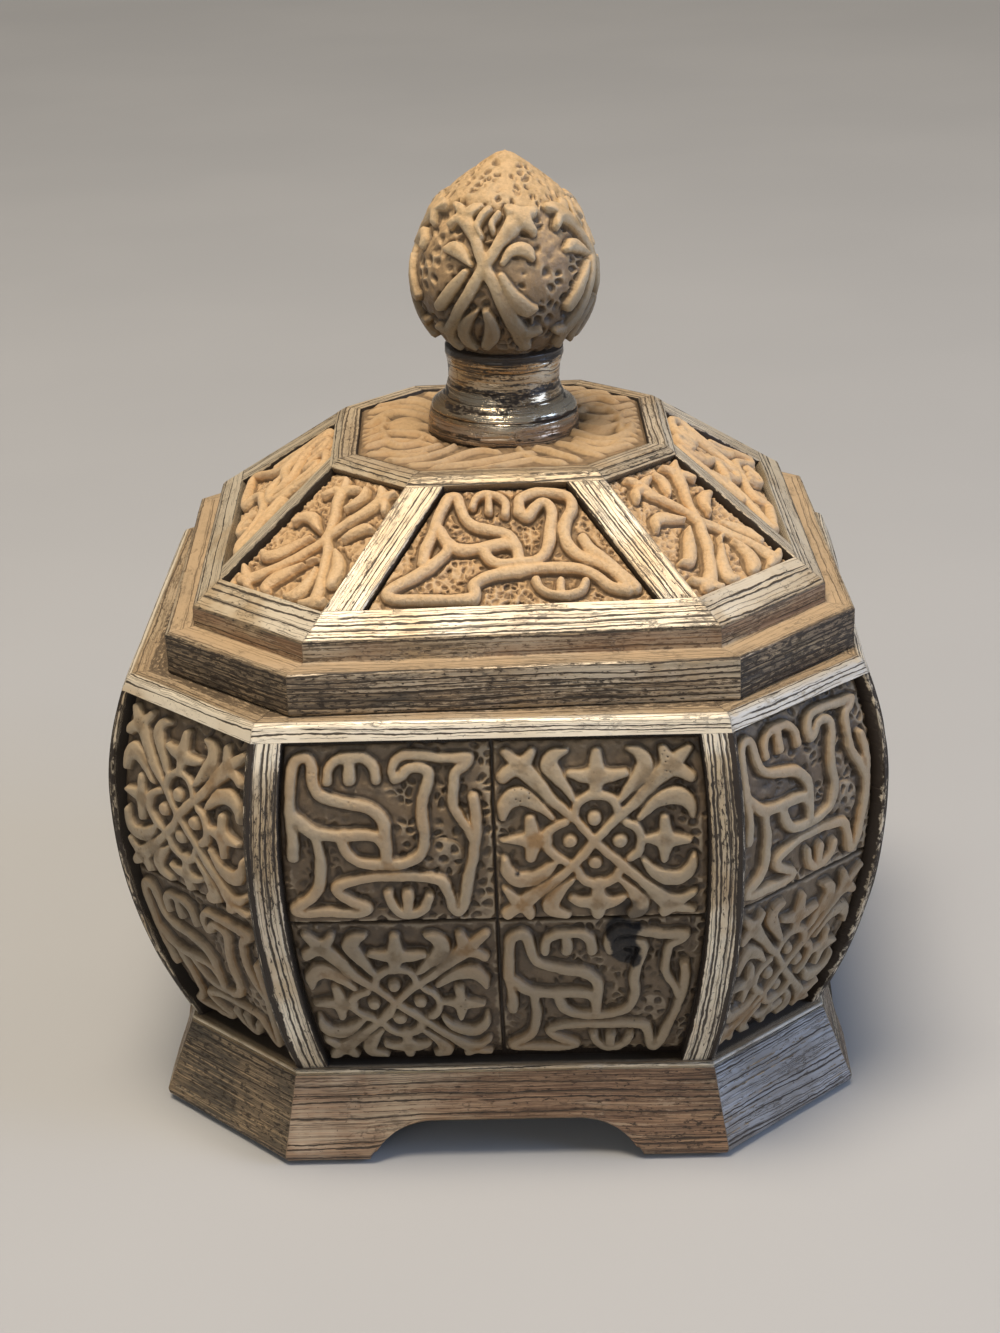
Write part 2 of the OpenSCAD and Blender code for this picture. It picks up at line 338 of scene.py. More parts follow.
# ---------------------------------------------------------------- materials
class Graph:
    """A short way to write a material's nodes."""

    def __init__(self, name):
        self.mat = bpy.data.materials.new(name)
        self.mat.use_nodes = True
        self.tree = self.mat.node_tree
        self.tree.nodes.clear()
        self.out = self.tree.nodes.new("ShaderNodeOutputMaterial")
        self.bsdf = self.tree.nodes.new("ShaderNodeBsdfPrincipled")
        self.tree.links.new(self.bsdf.outputs[0], self.out.inputs[0])

    def put(self, socket, value):
        if isinstance(value, bpy.types.NodeSocket):
            self.tree.links.new(value, socket)
        elif value is not None:
            if hasattr(socket.default_value, "__len__") and isinstance(value, (tuple, list)) and len(socket.default_value) == 4 and len(value) == 3:
                value = (*value, 1.0)
            socket.default_value = value

    def attr(self, name, what="Fac"):
        n = self.tree.nodes.new("ShaderNodeAttribute")
        n.attribute_name = name
        return n.outputs[what]

    def math(self, op, a, b=None, c=None, clamp=False):
        n = self.tree.nodes.new("ShaderNodeMath")
        n.operation = op
        n.use_clamp = clamp
        for i, v in enumerate((a, b, c)):
            self.put(n.inputs[i], v)
        return n.outputs[0]

    def vec(self, op, a, b=None):
        n = self.tree.nodes.new("ShaderNodeVectorMath")
        n.operation = op
        self.put(n.inputs[0], a)
        if b is not None:
            self.put(n.inputs[1], b)
        return n.outputs[0]

    def noise(self, vector, scale=1.0, detail=3.0, rough=0.5, distortion=0.0):
        n = self.tree.nodes.new("ShaderNodeTexNoise")
        self.put(n.inputs["Vector"], vector)
        n.inputs["Scale"].default_value = scale
        n.inputs["Detail"].default_value = detail
        n.inputs["Roughness"].default_value = rough
        n.inputs["Distortion"].default_value = distortion
        return n.outputs["Fac"]

    def ramp(self, fac, lo, hi, a=0.0, b=1.0, soft=True):
        n = self.tree.nodes.new("ShaderNodeMapRange")
        n.interpolation_type = "SMOOTHSTEP" if soft else "LINEAR"
        self.put(n.inputs["Value"], fac)
        n.inputs["From Min"].default_value = lo
        n.inputs["From Max"].default_value = hi
        n.inputs["To Min"].default_value = a
        n.inputs["To Max"].default_value = b
        return n.outputs["Result"]

    def mix(self, fac, a, b, mode="MIX"):
        n = self.tree.nodes.new("ShaderNodeMix")
        n.data_type = "RGBA"
        n.blend_type = mode
        self.put(n.inputs[0], fac)
        self.put(n.inputs[6], a)
        self.put(n.inputs[7], b)
        return n.outputs[2]

    def bump(self, height, distance, strength=1.0, normal=None):
        n = self.tree.nodes.new("ShaderNodeBump")
        n.inputs["Strength"].default_value = strength
        n.inputs["Distance"].default_value = distance
        self.put(n.inputs["Height"], height)
        if normal is not None:
            self.put(n.inputs["Normal"], normal)
        return n.outputs[0]

    def up(self):
        """How far the surface faces up, from -1 to 1."""
        g = self.tree.nodes.new("ShaderNodeNewGeometry")
        s = self.tree.nodes.new("ShaderNodeSeparateXYZ")
        self.put(s.inputs[0], g.outputs["Normal"])
        return s.outputs["Z"]

    def place(self):
        n = self.tree.nodes.new("ShaderNodeTexCoord")
        return n.outputs["Object"]


WASH = (0.030, 0.021, 0.015)


def relief_material(name, dark, mid, top, dust_and_top_light, dust_and_top_light_amount, rough, stain_c=(0.33, 0.215, 0.095), grit=0.0):
    """Cast ivory relief under a brown wash that has stayed in its hollows, with dust on what faces up; that lighter,
    warmer colour on the upward faces is partly painted light from above.
    """
    g = Graph(name)
    place = g.place()
    hgt, cav = g.attr("hgt"), g.attr("cav")
    grain = g.noise(place, 900.0, 4.0, 0.6)
    patch = g.noise(place, 110.0, 3.0, 0.55)
    wide = g.noise(place, 28.0, 2.0, 0.5)
    speck = g.noise(place, 2300.0, 2.0, 0.5)
    # height with a little noise, so that the wash has a ragged edge
    level = g.math("ADD", hgt, g.math("MULTIPLY", g.math("SUBTRACT", grain, 0.5), 0.30))
    low = g.mix(g.ramp(level, 0.02, 0.42), dark, mid)
    tone = g.mix(g.ramp(level, 0.42, 0.92), low, top)
    tone = g.mix(g.ramp(patch, 0.40, 0.70, 0.0, 0.55), tone, mid)
    tone = g.mix(g.ramp(wide, 0.40, 0.70, 0.0, 0.30), tone, g.mix(0.5, top, dust_and_top_light))
    warm = g.math("MULTIPLY", g.ramp(g.noise(place, 65.0, 3.0, 0.5, 0.6), 0.45, 0.61, 0.0, 0.82), g.ramp(level, 0.36, 0.76))
    tone = g.mix(warm, tone, stain_c)
    # wash in the corners at the foot of each stroke and in the pits
    hollow = g.ramp(cav, 0.03, 0.40)
    tone = g.mix(g.math("MULTIPLY", hollow, 0.64), tone, (0.040, 0.030, 0.022))
    tone = g.mix(g.ramp(speck, 0.66, 0.78, 0.0, 0.5), tone, (0.07, 0.045, 0.028))
    # rubbed edges
    tone = g.mix(g.math("MULTIPLY", g.ramp(cav, -0.05, -0.22), 0.42), tone, g.mix(0.6, top, (0.80, 0.70, 0.54)))
    # dust and painted light: what faces up is made lighter and warmer, both for dust and for the warm lamp above
    face = g.up()
    faces_up_dusty_and_lit = g.math("MULTIPLY", g.ramp(face, 0.10, 0.75), g.ramp(grain, 0.30, 0.62, 0.35, 1.0))
    faces_up_dusty_and_lit = g.math("MULTIPLY", faces_up_dusty_and_lit, g.ramp(cav, 0.36, 0.0, 0.35, 1.0))
    tone = g.mix(g.math("MULTIPLY", faces_up_dusty_and_lit, dust_and_top_light_amount), tone, dust_and_top_light)
    # darkened towards black: real black paint in bubbles and blotches, and painted shade on the lower tiles, the egg's
    # lower half and the lid's top
    tone = g.mix(g.ramp(g.attr("stain_and_shade"), 0.1, 0.9), tone, (0.006, 0.006, 0.008))
    # a dry, gritty skin: darker in its own small hollows
    gritty = g.noise(place, 1250.0, 3.0, 0.6)
    tone = g.mix(g.ramp(gritty, 0.56, 0.30, 0.0, 0.45 * grit), tone, g.mix(0.75, dark, mid))
    g.put(g.bsdf.inputs["Base Color"], tone)
    g.put(g.bsdf.inputs["Roughness"], g.math("ADD", g.ramp(grain, 0.3, 0.7, rough - 0.08, rough + 0.08), g.math("MULTIPLY", faces_up_dusty_and_lit, 0.18)))
    g.bsdf.inputs["Specular IOR Level"].default_value = 0.42
    h = g.math("ADD", g.math("MULTIPLY", grain, 0.6), g.math("MULTIPLY", speck, 0.4))
    h = g.math("ADD", h, g.math("MULTIPLY", gritty, 1.6 * grit))
    g.put(g.bsdf.inputs["Normal"], g.bump(h, 0.00018 + 0.00020 * grit, 0.8))
    return g.mat


def leaf_material(name, leaf, pale, gold, under_a, under_b, gloss=0.42, metal=0.20):
    """Worn champagne leaf over a dark ground: combed scratches, rubbed patches and red-brown bole.
    sv holds the millimetres along and across the strip, gr how bold its scratches are, tone how much leaf is left
    (above 1 a painted highlight that makes the leaf paler), bole how much of the red ground shows, the painted cool
    light where a cold blue-grey reflection of the blue lamp at the right is painted, and wash where the dark wash
    covers all."""
    g = Graph(name)
    place = g.place()
    sv, gr, tone_a, bole_a, wash_a = g.attr("sv", "Vector"), g.attr("gr"), g.attr("tone"), g.attr("bole"), g.attr("wash")

    split = g.tree.nodes.new("ShaderNodeSeparateXYZ")
    g.put(split.inputs[0], sv)
    along, across, strip = split.outputs

    def vector(x, y, z):
        n = g.tree.nodes.new("ShaderNodeCombineXYZ")
        for i, v in enumerate((x, y, z)):
            g.put(n.inputs[i], v)
        return n.outputs[0]

    def chance(w):
        n = g.tree.nodes.new("ShaderNodeTexWhiteNoise")
        n.noise_dimensions = "1D"
        g.put(n.inputs["W"], w)
        return n.outputs["Value"]

    sway = g.math("MULTIPLY", g.math("SUBTRACT", g.noise(g.vec("MULTIPLY", sv, (0.045, 0.22, 1.0)), 1.0, 1.0, 0.5), 0.5), 1.5)
    jitter = g.math("MULTIPLY", g.math("SUBTRACT", g.noise(g.vec("MULTIPLY", sv, (0.50, 1.1, 2.0)), 1.0, 2.0, 0.6), 0.5), 0.42)
    run = g.math("ADD", across, g.math("ADD", sway, jitter))

    def scored(period, width, seed, keep, gap, low, high, by=0.75):
        """Scratches of even width along the strip, one to a period across it, each set off by chance and with its own gaps."""
        u = g.math("ADD", g.math("DIVIDE", run, period), g.math("ADD", g.math("MULTIPLY", strip, 0.173), seed * 0.31))
        lane = g.math("FLOOR", u)
        off = g.math("MULTIPLY", g.math("SUBTRACT", chance(g.math("ADD", lane, seed * 11.0)), 0.5), 0.55)
        f = g.math("ABSOLUTE", g.math("SUBTRACT", g.math("SUBTRACT", g.math("FRACT", u), 0.5), off))
        f = g.math("MULTIPLY", f, period)
        thick = g.noise(vector(g.math("MULTIPLY", along, 0.22), g.math("MULTIPLY", lane, 3.7), g.math("ADD", strip, seed)), 1.0, 2.0, 0.6)
        thick = g.math("MULTIPLY", g.math("MULTIPLY", thick, 2.0 * width), g.math("ADD", 1.0 - 0.5 * by, g.math("MULTIPLY", gr, by)))
        line = g.ramp(g.math("DIVIDE", f, thick), 1.15, 0.60)
        there = g.math("LESS_THAN", chance(g.math("ADD", lane, seed * 11.0 + 300.0)), g.math("MULTIPLY", g.math("ADD", 1.0 - by, g.math("MULTIPLY", gr, by)), keep))
        gaps = g.noise(vector(g.math("MULTIPLY", along, gap), g.math("MULTIPLY", lane, 5.3), g.math("ADD", strip, seed + 5.0)), 1.0, 2.0, 0.55)
        return g.math("MULTIPLY", g.math("MULTIPLY", line, there), g.ramp(gaps, low, high))

    comb = g.noise(g.vec("MULTIPLY", sv, (0.034, 2.3, 1.0)), 1.0, 3.0, 0.6)
    fine = g.noise(g.vec("MULTIPLY", sv, (0.09, 5.5, 1.0)), 1.0, 3.0, 0.6)
    chip = g.noise(g.vec("MULTIPLY", sv, (0.8, 2.2, 5.0)), 1.0, 5.0, 0.66)
    patch = g.noise(place, 75.0, 4.0, 0.62)
    speck = g.noise(place, 1700.0, 3.0, 0.6)
    cloud = g.noise(place, 26.0, 2.0, 0.5)
    less = g.math("SUBTRACT", 1.0, tone_a)
    big = scored(0.98, 0.105, 1.0, 0.95, 0.045, 0.30, 0.34)
    mid = scored(0.62, 0.060, 2.0, 0.55, 0.09, 0.40, 0.46, by=0.10)
    hair = scored(0.33, 0.034, 3.0, 0.50, 0.20, 0.46, 0.52, by=0.05)
    # fine crackle in patches
    v = g.tree.nodes.new("ShaderNodeTexVoronoi")
    v.feature = "DISTANCE_TO_EDGE"
    g.put(v.inputs["Vector"], g.vec("ADD", g.vec("MULTIPLY", sv, (0.62, 1.15, 3.0)), g.vec("MULTIPLY", vector(chip, fine, 0.0), (2.4, 1.8, 0.0))))
    v.inputs["Scale"].default_value = 1.0
    crack = g.math("MULTIPLY", g.ramp(v.outputs["Distance"], 0.050, 0.015), g.ramp(g.noise(g.vec("MULTIPLY", sv, (0.16, 0.30, 8.0)), 1.0, 2.0, 0.5), 0.53, 0.63))
    lines = g.math("MAXIMUM", g.math("MAXIMUM", big, g.math("MULTIPLY", mid, 0.62)), g.math("MAXIMUM", g.math("MULTIPLY", hair, 0.7), g.math("MULTIPLY", crack, 0.50)))
    # where the leaf is rubbed through, in streaks along the strip
    bare = g.math("ADD", g.math("MULTIPLY", g.math("SUBTRACT", comb, 0.5), 1.5), g.math("MULTIPLY", g.math("SUBTRACT", chip, 0.5), 1.1))
    bare = g.ramp(g.math("ADD", bare, g.math("SUBTRACT", less, 0.5)), -0.045, 0.035)
    # and where it is chipped down to black
    worn = g.math("ADD", g.math("MULTIPLY", g.math("SUBTRACT", chip, 0.5), 1.6), g.math("ADD", g.math("MULTIPLY", less, 0.30), g.math("MULTIPLY", g.math("SUBTRACT", gr, 0.6), 0.16)))
    worn = g.ramp(worn, 0.30, 0.40)
    metal_c = g.mix(g.ramp(cloud, 0.38, 0.62), leaf, pale)
    metal_c = g.mix(g.ramp(patch, 0.46, 0.66, 0.0, 0.75), metal_c, gold)
    metal_c = g.mix(g.ramp(fine, 0.50, 0.34, 0.0, 0.22), metal_c, gold)
    metal_c = g.mix(g.ramp(tone_a, 1.10, 0.40, 0.0, 0.78), metal_c, g.mix(0.5, gold, under_b))
    # painted highlight: tone above 1 turns the leaf pale
    metal_c = g.mix(g.ramp(tone_a, 0.95, 1.25, 0.0, 0.75), metal_c, pale)
    # painted reflection: a cold blue-grey on the right corner face, for the blue lamp at the right
    metal_c = g.mix(g.attr("painted_cool_light"), metal_c, g.mix(g.ramp(patch, 0.40, 0.62), (0.265, 0.278, 0.308), (0.180, 0.184, 0.196)))
    under = g.mix(g.ramp(patch, 0.38, 0.62), under_a, under_b)
    under = g.mix(g.ramp(fine, 0.50, 0.64, 0.0, 0.65), under, gold)
    red = g.math("MULTIPLY", bole_a, g.ramp(g.math("ADD", patch, g.math("MULTIPLY", comb, 0.5)), 0.55, 0.85, 0.55, 1.0))
    col = g.mix(bare, metal_c, under)
    col = g.mix(red, col, g.mix(g.ramp(fine, 0.38, 0.62), (0.150, 0.078, 0.044), (0.34, 0.205, 0.120)))
    dark = g.math("MAXIMUM", g.math("MULTIPLY", lines, 0.95), g.math("MULTIPLY", worn, 0.9))
    dark = g.math("MAXIMUM", dark, g.ramp(speck, 0.64, 0.74, 0.0, 0.7))
    dark = g.math("MAXIMUM", dark, g.ramp(g.math("ADD", wash_a, g.math("MULTIPLY", g.math("SUBTRACT", chip, 0.5), 1.5)), 0.35, 0.55))
    col = g.mix(dark, col, WASH)
    # dust and painted light: flat upward faces get a tan colour, both for dust and for the warm lamp above
    face = g.up()
    faces_up_dusty_and_lit = g.math("MULTIPLY", g.ramp(face, 0.86, 0.99), g.ramp(patch, 0.25, 0.6, 0.45, 0.95))
    faces_up_dusty_and_lit = g.math("MULTIPLY", faces_up_dusty_and_lit, g.math("SUBTRACT", 1.0, g.math("MULTIPLY", dark, 0.55)))
    dusty_and_top_lit = g.math("MULTIPLY", faces_up_dusty_and_lit, g.attr("dust_and_top_light"))
    col = g.mix(dusty_and_top_lit, col, (0.56, 0.42, 0.27))
    g.put(g.bsdf.inputs["Base Color"], col)
    shine = g.math("MULTIPLY", g.math("SUBTRACT", 1.0, g.math("MAXIMUM", dark, g.math("MULTIPLY", bare, 0.8))), g.math("SUBTRACT", 1.0, dusty_and_top_lit))
    g.put(g.bsdf.inputs["Metallic"], g.math("MULTIPLY", g.math("MULTIPLY", shine, g.math("SUBTRACT", 1.0, g.math("MULTIPLY", red, 0.6))), metal))
    g.put(g.bsdf.inputs["Roughness"], g.math("ADD", g.ramp(shine, 0.0, 1.0, gloss + 0.16, gloss), g.math("MULTIPLY", g.math("SUBTRACT", chip, 0.5), 0.22)))
    g.bsdf.inputs["Specular IOR Level"].default_value = 0.5
    h = g.math("ADD", g.math("MULTIPLY", g.math("SUBTRACT", 1.0, lines), 0.8), g.math("MULTIPLY", chip, 0.3))
    h = g.math("SUBTRACT", h, g.math("MULTIPLY", worn, 0.35))
    g.put(g.bsdf.inputs["Normal"], g.bump(h, 0.00014, 0.9))
    return g.mat


# one ivory finish in lit and shaded copies: the body's copy is darker as painted shade, the lid's brighter and warmer
# as painted light from above
M_BODY = relief_material("ivory_body_painted_shade", (0.074, 0.055, 0.040), (0.150, 0.107, 0.068), (0.272, 0.207, 0.129), (0.50, 0.38, 0.24), 0.50, 0.46, (0.33, 0.195, 0.082), grit=0.22)
M_LID = relief_material("ivory_lid_painted_light", (0.085, 0.052, 0.030), (0.38, 0.246, 0.134), (0.72, 0.510, 0.290), (0.74, 0.52, 0.295), 0.65, 0.60, (0.60, 0.35, 0.155), grit=0.60)
M_KNOB = relief_material("ivory_knob", (0.080, 0.053, 0.033), (0.255, 0.170, 0.095), (0.43, 0.336, 0.205), (0.78, 0.555, 0.32), 0.75, 0.48, (0.40, 0.26, 0.11), grit=0.45)
M_LEAF = leaf_material("worn_leaf", (0.74, 0.65, 0.49), (0.90, 0.84, 0.71), (0.56, 0.42, 0.25), (0.075, 0.066, 0.052), (0.19, 0.145, 0.095))
M_PEWTER = leaf_material("dark_pewter", (0.52, 0.47, 0.38), (0.72, 0.66, 0.54), (0.52, 0.32, 0.13), (0.035, 0.030, 0.026), (0.18, 0.108, 0.050), gloss=0.17, metal=0.85)

# ---------------------------------------------------------------- body frame: foot, ribs, rim and inside, as one closed shell
def face_columns(rib_n, panel_f, rib_w):
    """Columns across one side: the kind, the share across the rib, or the share across the panel."""
    cols = []
    for k in range(rib_n + 1):
        cols.append(("l", k / rib_n))
    cols += [("p", f) for f in panel_f]
    for k in range(rib_n, -1, -1):
        cols.append(("r", k / rib_n))
    return cols


def spread(parts):
    """Shares from -1 to 1, symmetric, from (end, steps) parts counted from the middle."""
    half, start = [0.0], 0.0
    for end, steps, power in parts:
        half += [start + (end - start) * (1 - (1 - k / steps) ** power) for k in range(1, steps + 1)]
        start = end
    half = np.array(half)
    return np.concatenate([-half[:0:-1], half])


class Shell:
    """An eight-sided closed shell, given as rows from its inner pole to its lower or upper pole.
    Each row has the distances of its wide and its corner sides, its height and its kind."""

    def __init__(self, wide_cols, corner_cols, rib):
        self.cols = []
        for k in range(8):
            angle = math.radians(45 * k)
            corner = k % 2 == 1
            cs = corner_cols if corner else wide_cols
            if corner:
                cs = cs[1:-1]
            for kind, f in cs:
                self.cols.append((k, corner, kind, f, angle))
        self.face = np.array([c[0] for c in self.cols])
        self.corner = np.array([c[1] for c in self.cols])
        self.kind = np.array([c[2] for c in self.cols])
        self.f = np.array([c[3] for c in self.cols], float)
        self.angle = np.array([c[4] for c in self.cols])
        self.rib = rib
        self.rows = []

    def add(self, z, dw, dc, zone, **more):
        self.rows.append(dict(z=z, dw=dw, dc=dc, zone=zone, **more))


shell_wide = face_columns(24, spread([(0.36, 7, 1.0), (0.715, 16, 1.35), (1.0, 8, 1.0)]), RIB_W)
shell_corner = face_columns(4, spread([(1.0, 11, 1.0)]), RIB_C)
sh = Shell(shell_wide, shell_corner, (RIB_W, RIB_C))

# rows, from the middle of the inside floor over the rim to the middle of the base
for d in (12.0, 30.0, 40.0):
    sh.add(16.0, d, d + OUT * d / 43.7, "in")
d16 = float(side(16.0, 5.2))
sh.add(16.0, d16 - 1.6, d16 - 1.6 + OUT, "in")
sh.add(16.45, d16 - 0.4, d16 - 0.4 + OUT, "in")
for z in (17.6, 21, 26, 32, 38, 44, 50, 55, 59, 61.0):
    d = float(side(z, 5.2))
    sh.add(z, d, d + OUT, "in")
for z, d in ((61.6, 50.6), (63.5, 48.45), (65.6, 46.05), (66.4, 45.5), (68.4, 45.5), (70.3, 45.5), (70.9, 45.6)):
    sh.add(z, d, d + OUT, "in")
for k in range(17):
    d = 45.85 + (52.55 - 45.85) * (k / 16) ** 0.8
    sh.add(71.1, d, d + OUT, "top", wash=0.55 if d < 50.7 else 0.0)
for z, d in ((71.07, 52.9), (70.95, 53.2), (70.72, 53.45)):
    sh.add(z, d, d + OUT, "band")
for z in np.linspace(70.45, Z1 + 0.04, 13):
    d = float(side(z))
    sh.add(float(z), d - 0.02, d + OUT - 0.02, "band")
for z in [Z1 - 0.02] + list(np.linspace(Z1 - 0.35, Z0 + 0.35, 62)) + [Z0 + 0.03]:
    d = float(side(z))
    sh.add(float(z), d, d + OUT, "panel")
for k, d in enumerate((47.78, 47.95, 48.15)):
    sh.add(Z0, d, d + OUT, "ledge")
for z, d in ((13.36, 48.36), (13.24, 48.52), (13.08, 48.6), (12.92, 48.55), (12.8, 48.42), (12.7, 48.25), (12.62, 48.2), (12.6, 48.45)):
    sh.add(z, d, d + OUT, "bead")
for k in range(66):
    z = 12.55 - (12.55 - 1.6) * k / 65
    d = 48.7 + (52.95 - 48.7) * (12.6 - z) / 11.0
    sh.add(z, d, d + OUT, "foot")
for z, d in ((1.2, 52.92), (0.8, 52.78), (0.45, 52.5), (0.18, 52.1)):
    sh.add(z, d, d + OUT, "foot")
for d in (51.6, 50.2, 48.4, 46.2, 44.4, 43.8):
    sh.add(0.0, d, d + OUT, "sole")
for z in (0.15, 1.2, 2.6, 4.2, 5.8, 7.2, 8.6, 9.4):
    sh.add(z, 43.7, 51.3, "pocket")
for d in (43.3, 34.0, 18.0, 6.0):
    sh.add(9.6, d, d + OUT * d / 43.7, "ceiling")


def arch_height(x):
    x = np.abs(x)
    rise = np.sqrt(np.maximum(121.0 - np.maximum(x - 10.36, 0) ** 2, 0)) - 4.7
    return np.clip(np.where(x < 20.3, rise, 0), 0, 6.3)


def build_shell(shell, bed, is_lid):
    R, C = len(shell.rows), len(shell.cols)
    corner, kind, f, ang, face = shell.corner, shell.kind, shell.f, shell.angle, shell.face
    co = np.zeros((R, C, 3))
    sv = np.zeros((R, C, 3))
    gr = np.zeros((R, C))
    tone = np.zeros((R, C))
    bole = np.zeros((R, C))
    dust_and_top_light = np.zeros((R, C))
    wash = np.zeros((R, C))
    painted_cool_light = np.zeros((R, C))
    path = 0.0
    last = None
    n = np.stack([np.sin(ang), -np.cos(ang)], -1)
    t = np.stack([np.cos(ang), np.sin(ang)], -1)
    on_panel = kind == "p"
    for r, row in enumerate(shell.rows):
        dw, dc, z, zone = row["dw"], row["dc"], row["z"], row["zone"]
        if last is not None:
            path += math.hypot(z - last[0], dw - last[1])
        last = (z, dw)
        a = np.where(corner, corner_half(dw, dc), wide_half(dw, dc))
        D = np.where(corner, dc, dw).astype(float)
        zz = np.full(C, float(z))
        if is_lid:
            rib = np.where(corner, 0.4, 5.6) * row.get("rib", 1.0)
            b = np.maximum(a - rib, a * 0.55)
            inner = zone == "slope_panel"
        else:
            b = a - np.where(corner, RIB_C, RIB_W)
            if zone == "panel":
                b = np.where(corner, panel_half(z, True), panel_half(z, False))
            inner = zone == "panel"
        x = np.where(kind == "l", -a + (a - b) * f, np.where(kind == "r", a - (a - b) * f, b * f))
        if not is_lid and zone in ("foot", "sole", "pocket", "bead"):
            # columns run straight through the arches
            keep = 20.3 * np.abs(f) / 0.715
            out = 20.3 + (b - 20.3) * (np.abs(f) - 0.715) / 0.285
            xs = np.sign(f) * np.where(np.abs(f) <= 0.715, keep, out)
            if zone == "bead":
                w = 0.5
                xs = xs * w + b * f * (1 - w)
            x = np.where(on_panel & ~corner, xs, x)
        sinkable = on_panel & inner
        # distance from the rib's edge, which is rounded over
        edge = np.where(on_panel, 9.0, (1 - f) * (a - b))
        nz, nd = row.get("nz", 0.0), row.get("nd", 1.0)
        wob = 0.10 * noise(x / 9.0, z / 7.0, face * 3.3, 41)
        seed = face * 2.37 + {"top": 0.1, "band": 1.3, "bead": 2.2, "foot": 3.1}.get(zone, 0.7)
        cut = np.zeros(C)
        g = np.zeros(C)
        bold = np.full(C, row.get("bold", 0.5))
        wa = np.full(C, row.get("wash", 0.0))
        down = np.full(C, path)
        # painted reflection: the right corner face's foot, band and bead are given a cold blue-grey, for the blue lamp
        # at the right
        painted_cool_light_row = np.where(face == 1, {"foot": 0.92, "band": 0.35, "bead": 0.5}.get(zone, 0.0), 0.0)
        if zone == "foot":
            am = np.where(corner, 0.0, arch_height(x))
            down = path + (zz - (am + zz * (12.6 - am) / 12.6))
        if zone in ("panel", "slope_panel"):
            along = z * row.get("stretch", 1.0)
            across = np.where(kind == "l", x + a, a - x)
            seed = face * 4.1 + np.where(kind == "l", 0.3, 2.6)
            g = grooves(along, across, seed, 0.95, 24.0) * ~on_panel
            round_over = 0.30 * (1 - np.sqrt(np.clip(1 - (1 - np.minimum(edge, 0.45) / 0.45) ** 2, 0, 1)))
            chip = 0.35 * smooth((noise(z / 1.3, across / 0.8, seed, 43) - 0.45) / 0.3) * smooth(1 - edge / 0.7)
            cut = (0.07 * g + round_over + chip + 0.05 + wob * 0.5) * ~on_panel
            s_, t_ = along, across
            tn = (0.80 if is_lid else np.where((face == 0) & (kind == "r"), 0.90, 0.84) - 0.30 * float(smooth((z - 38) / 14) * smooth((67.0 - z) / 5))) + 0.20 * noise(z / 11.0, across / 2.0, seed, 44)
            bold = np.full(C, 0.66 if is_lid else 1.25)
            bo = 0.25 * smooth(noise(z / 9.0, across / 1.6, seed + 5, 45) * 1.6)
            ds = 0.25
            # the wash stays along the outer edge and down the wall to the panel; the wall and the panel's bed are
            # darkened partly as painted shade in the gap between frame and relief
            hip = smooth((0.75 + 0.45 * noise(z / 5.0, 0.3, seed, 49) - across) / 0.35)
            wall = smooth((0.30 - edge) / 0.22)
            if is_lid:
                bo = bo * 0.4
                wa = np.maximum(0.30 * hip, 0.85 * wall)
            else:
                wa = np.maximum(0.95 * hip, 0.95 * wall)
                wa = np.where(corner, 0.60 - 0.14 * f + 0.27 * noise(z / 2.2, 0.5, seed, 50), wa)
                # painted highlight: the ribs are paler in their top few millimetres, where they turn up towards the
                # light
                tn = np.where(corner, 0.80, tn + 0.34 * float(smooth((z - 64.8) / 1.6)))
            wa = np.where(on_panel, 0.62 if is_lid else 1.6, wa)
            if is_lid:
                tn = np.where(on_panel, 0.30, tn)
        else:
            s_, t_ = x, down
            g = grooves(x, down, seed, row.get("period", 0.85), 30.0) * row.get("g", 0.0)
            cut = 0.45 * row.get("depth", 0.16) * g + 0.04 + wob * row.get("wob", 0.5)
            tn = row.get("tone", 0.6) + 0.16 * noise(x / 12.0, down / 2.5, seed, 46)
            bo = row.get("bole", 0.0) * smooth(0.6 + 1.2 * noise(x / 10.0, down / 2.2, seed + 3, 47))
            ds = row.get("dust_and_top_light", 0.0)
            if zone == "foot":
                # bare red-brown at the front, dark at the left, more leaf at the right
                bo = np.select([face == 0, face == 7, face == 1], [0.85 + 0 * bo, 0.05 + 0 * bo, 0.03 + 0 * bo], bo)
                tn = np.select([face == 0, face == 7, face == 1], [tn + 0.12 - x / 120.0, tn - 0.34, tn + 0.26], tn)
            if zone == "slab":
                tn = tn + np.select([face == 0, face == 7, face == 1], [0.08 + x / 160.0, -0.24 + 0 * x, -0.32 + 0 * x], 0.0)
                bo = np.where(face == 7, bo * 0.5, bo)
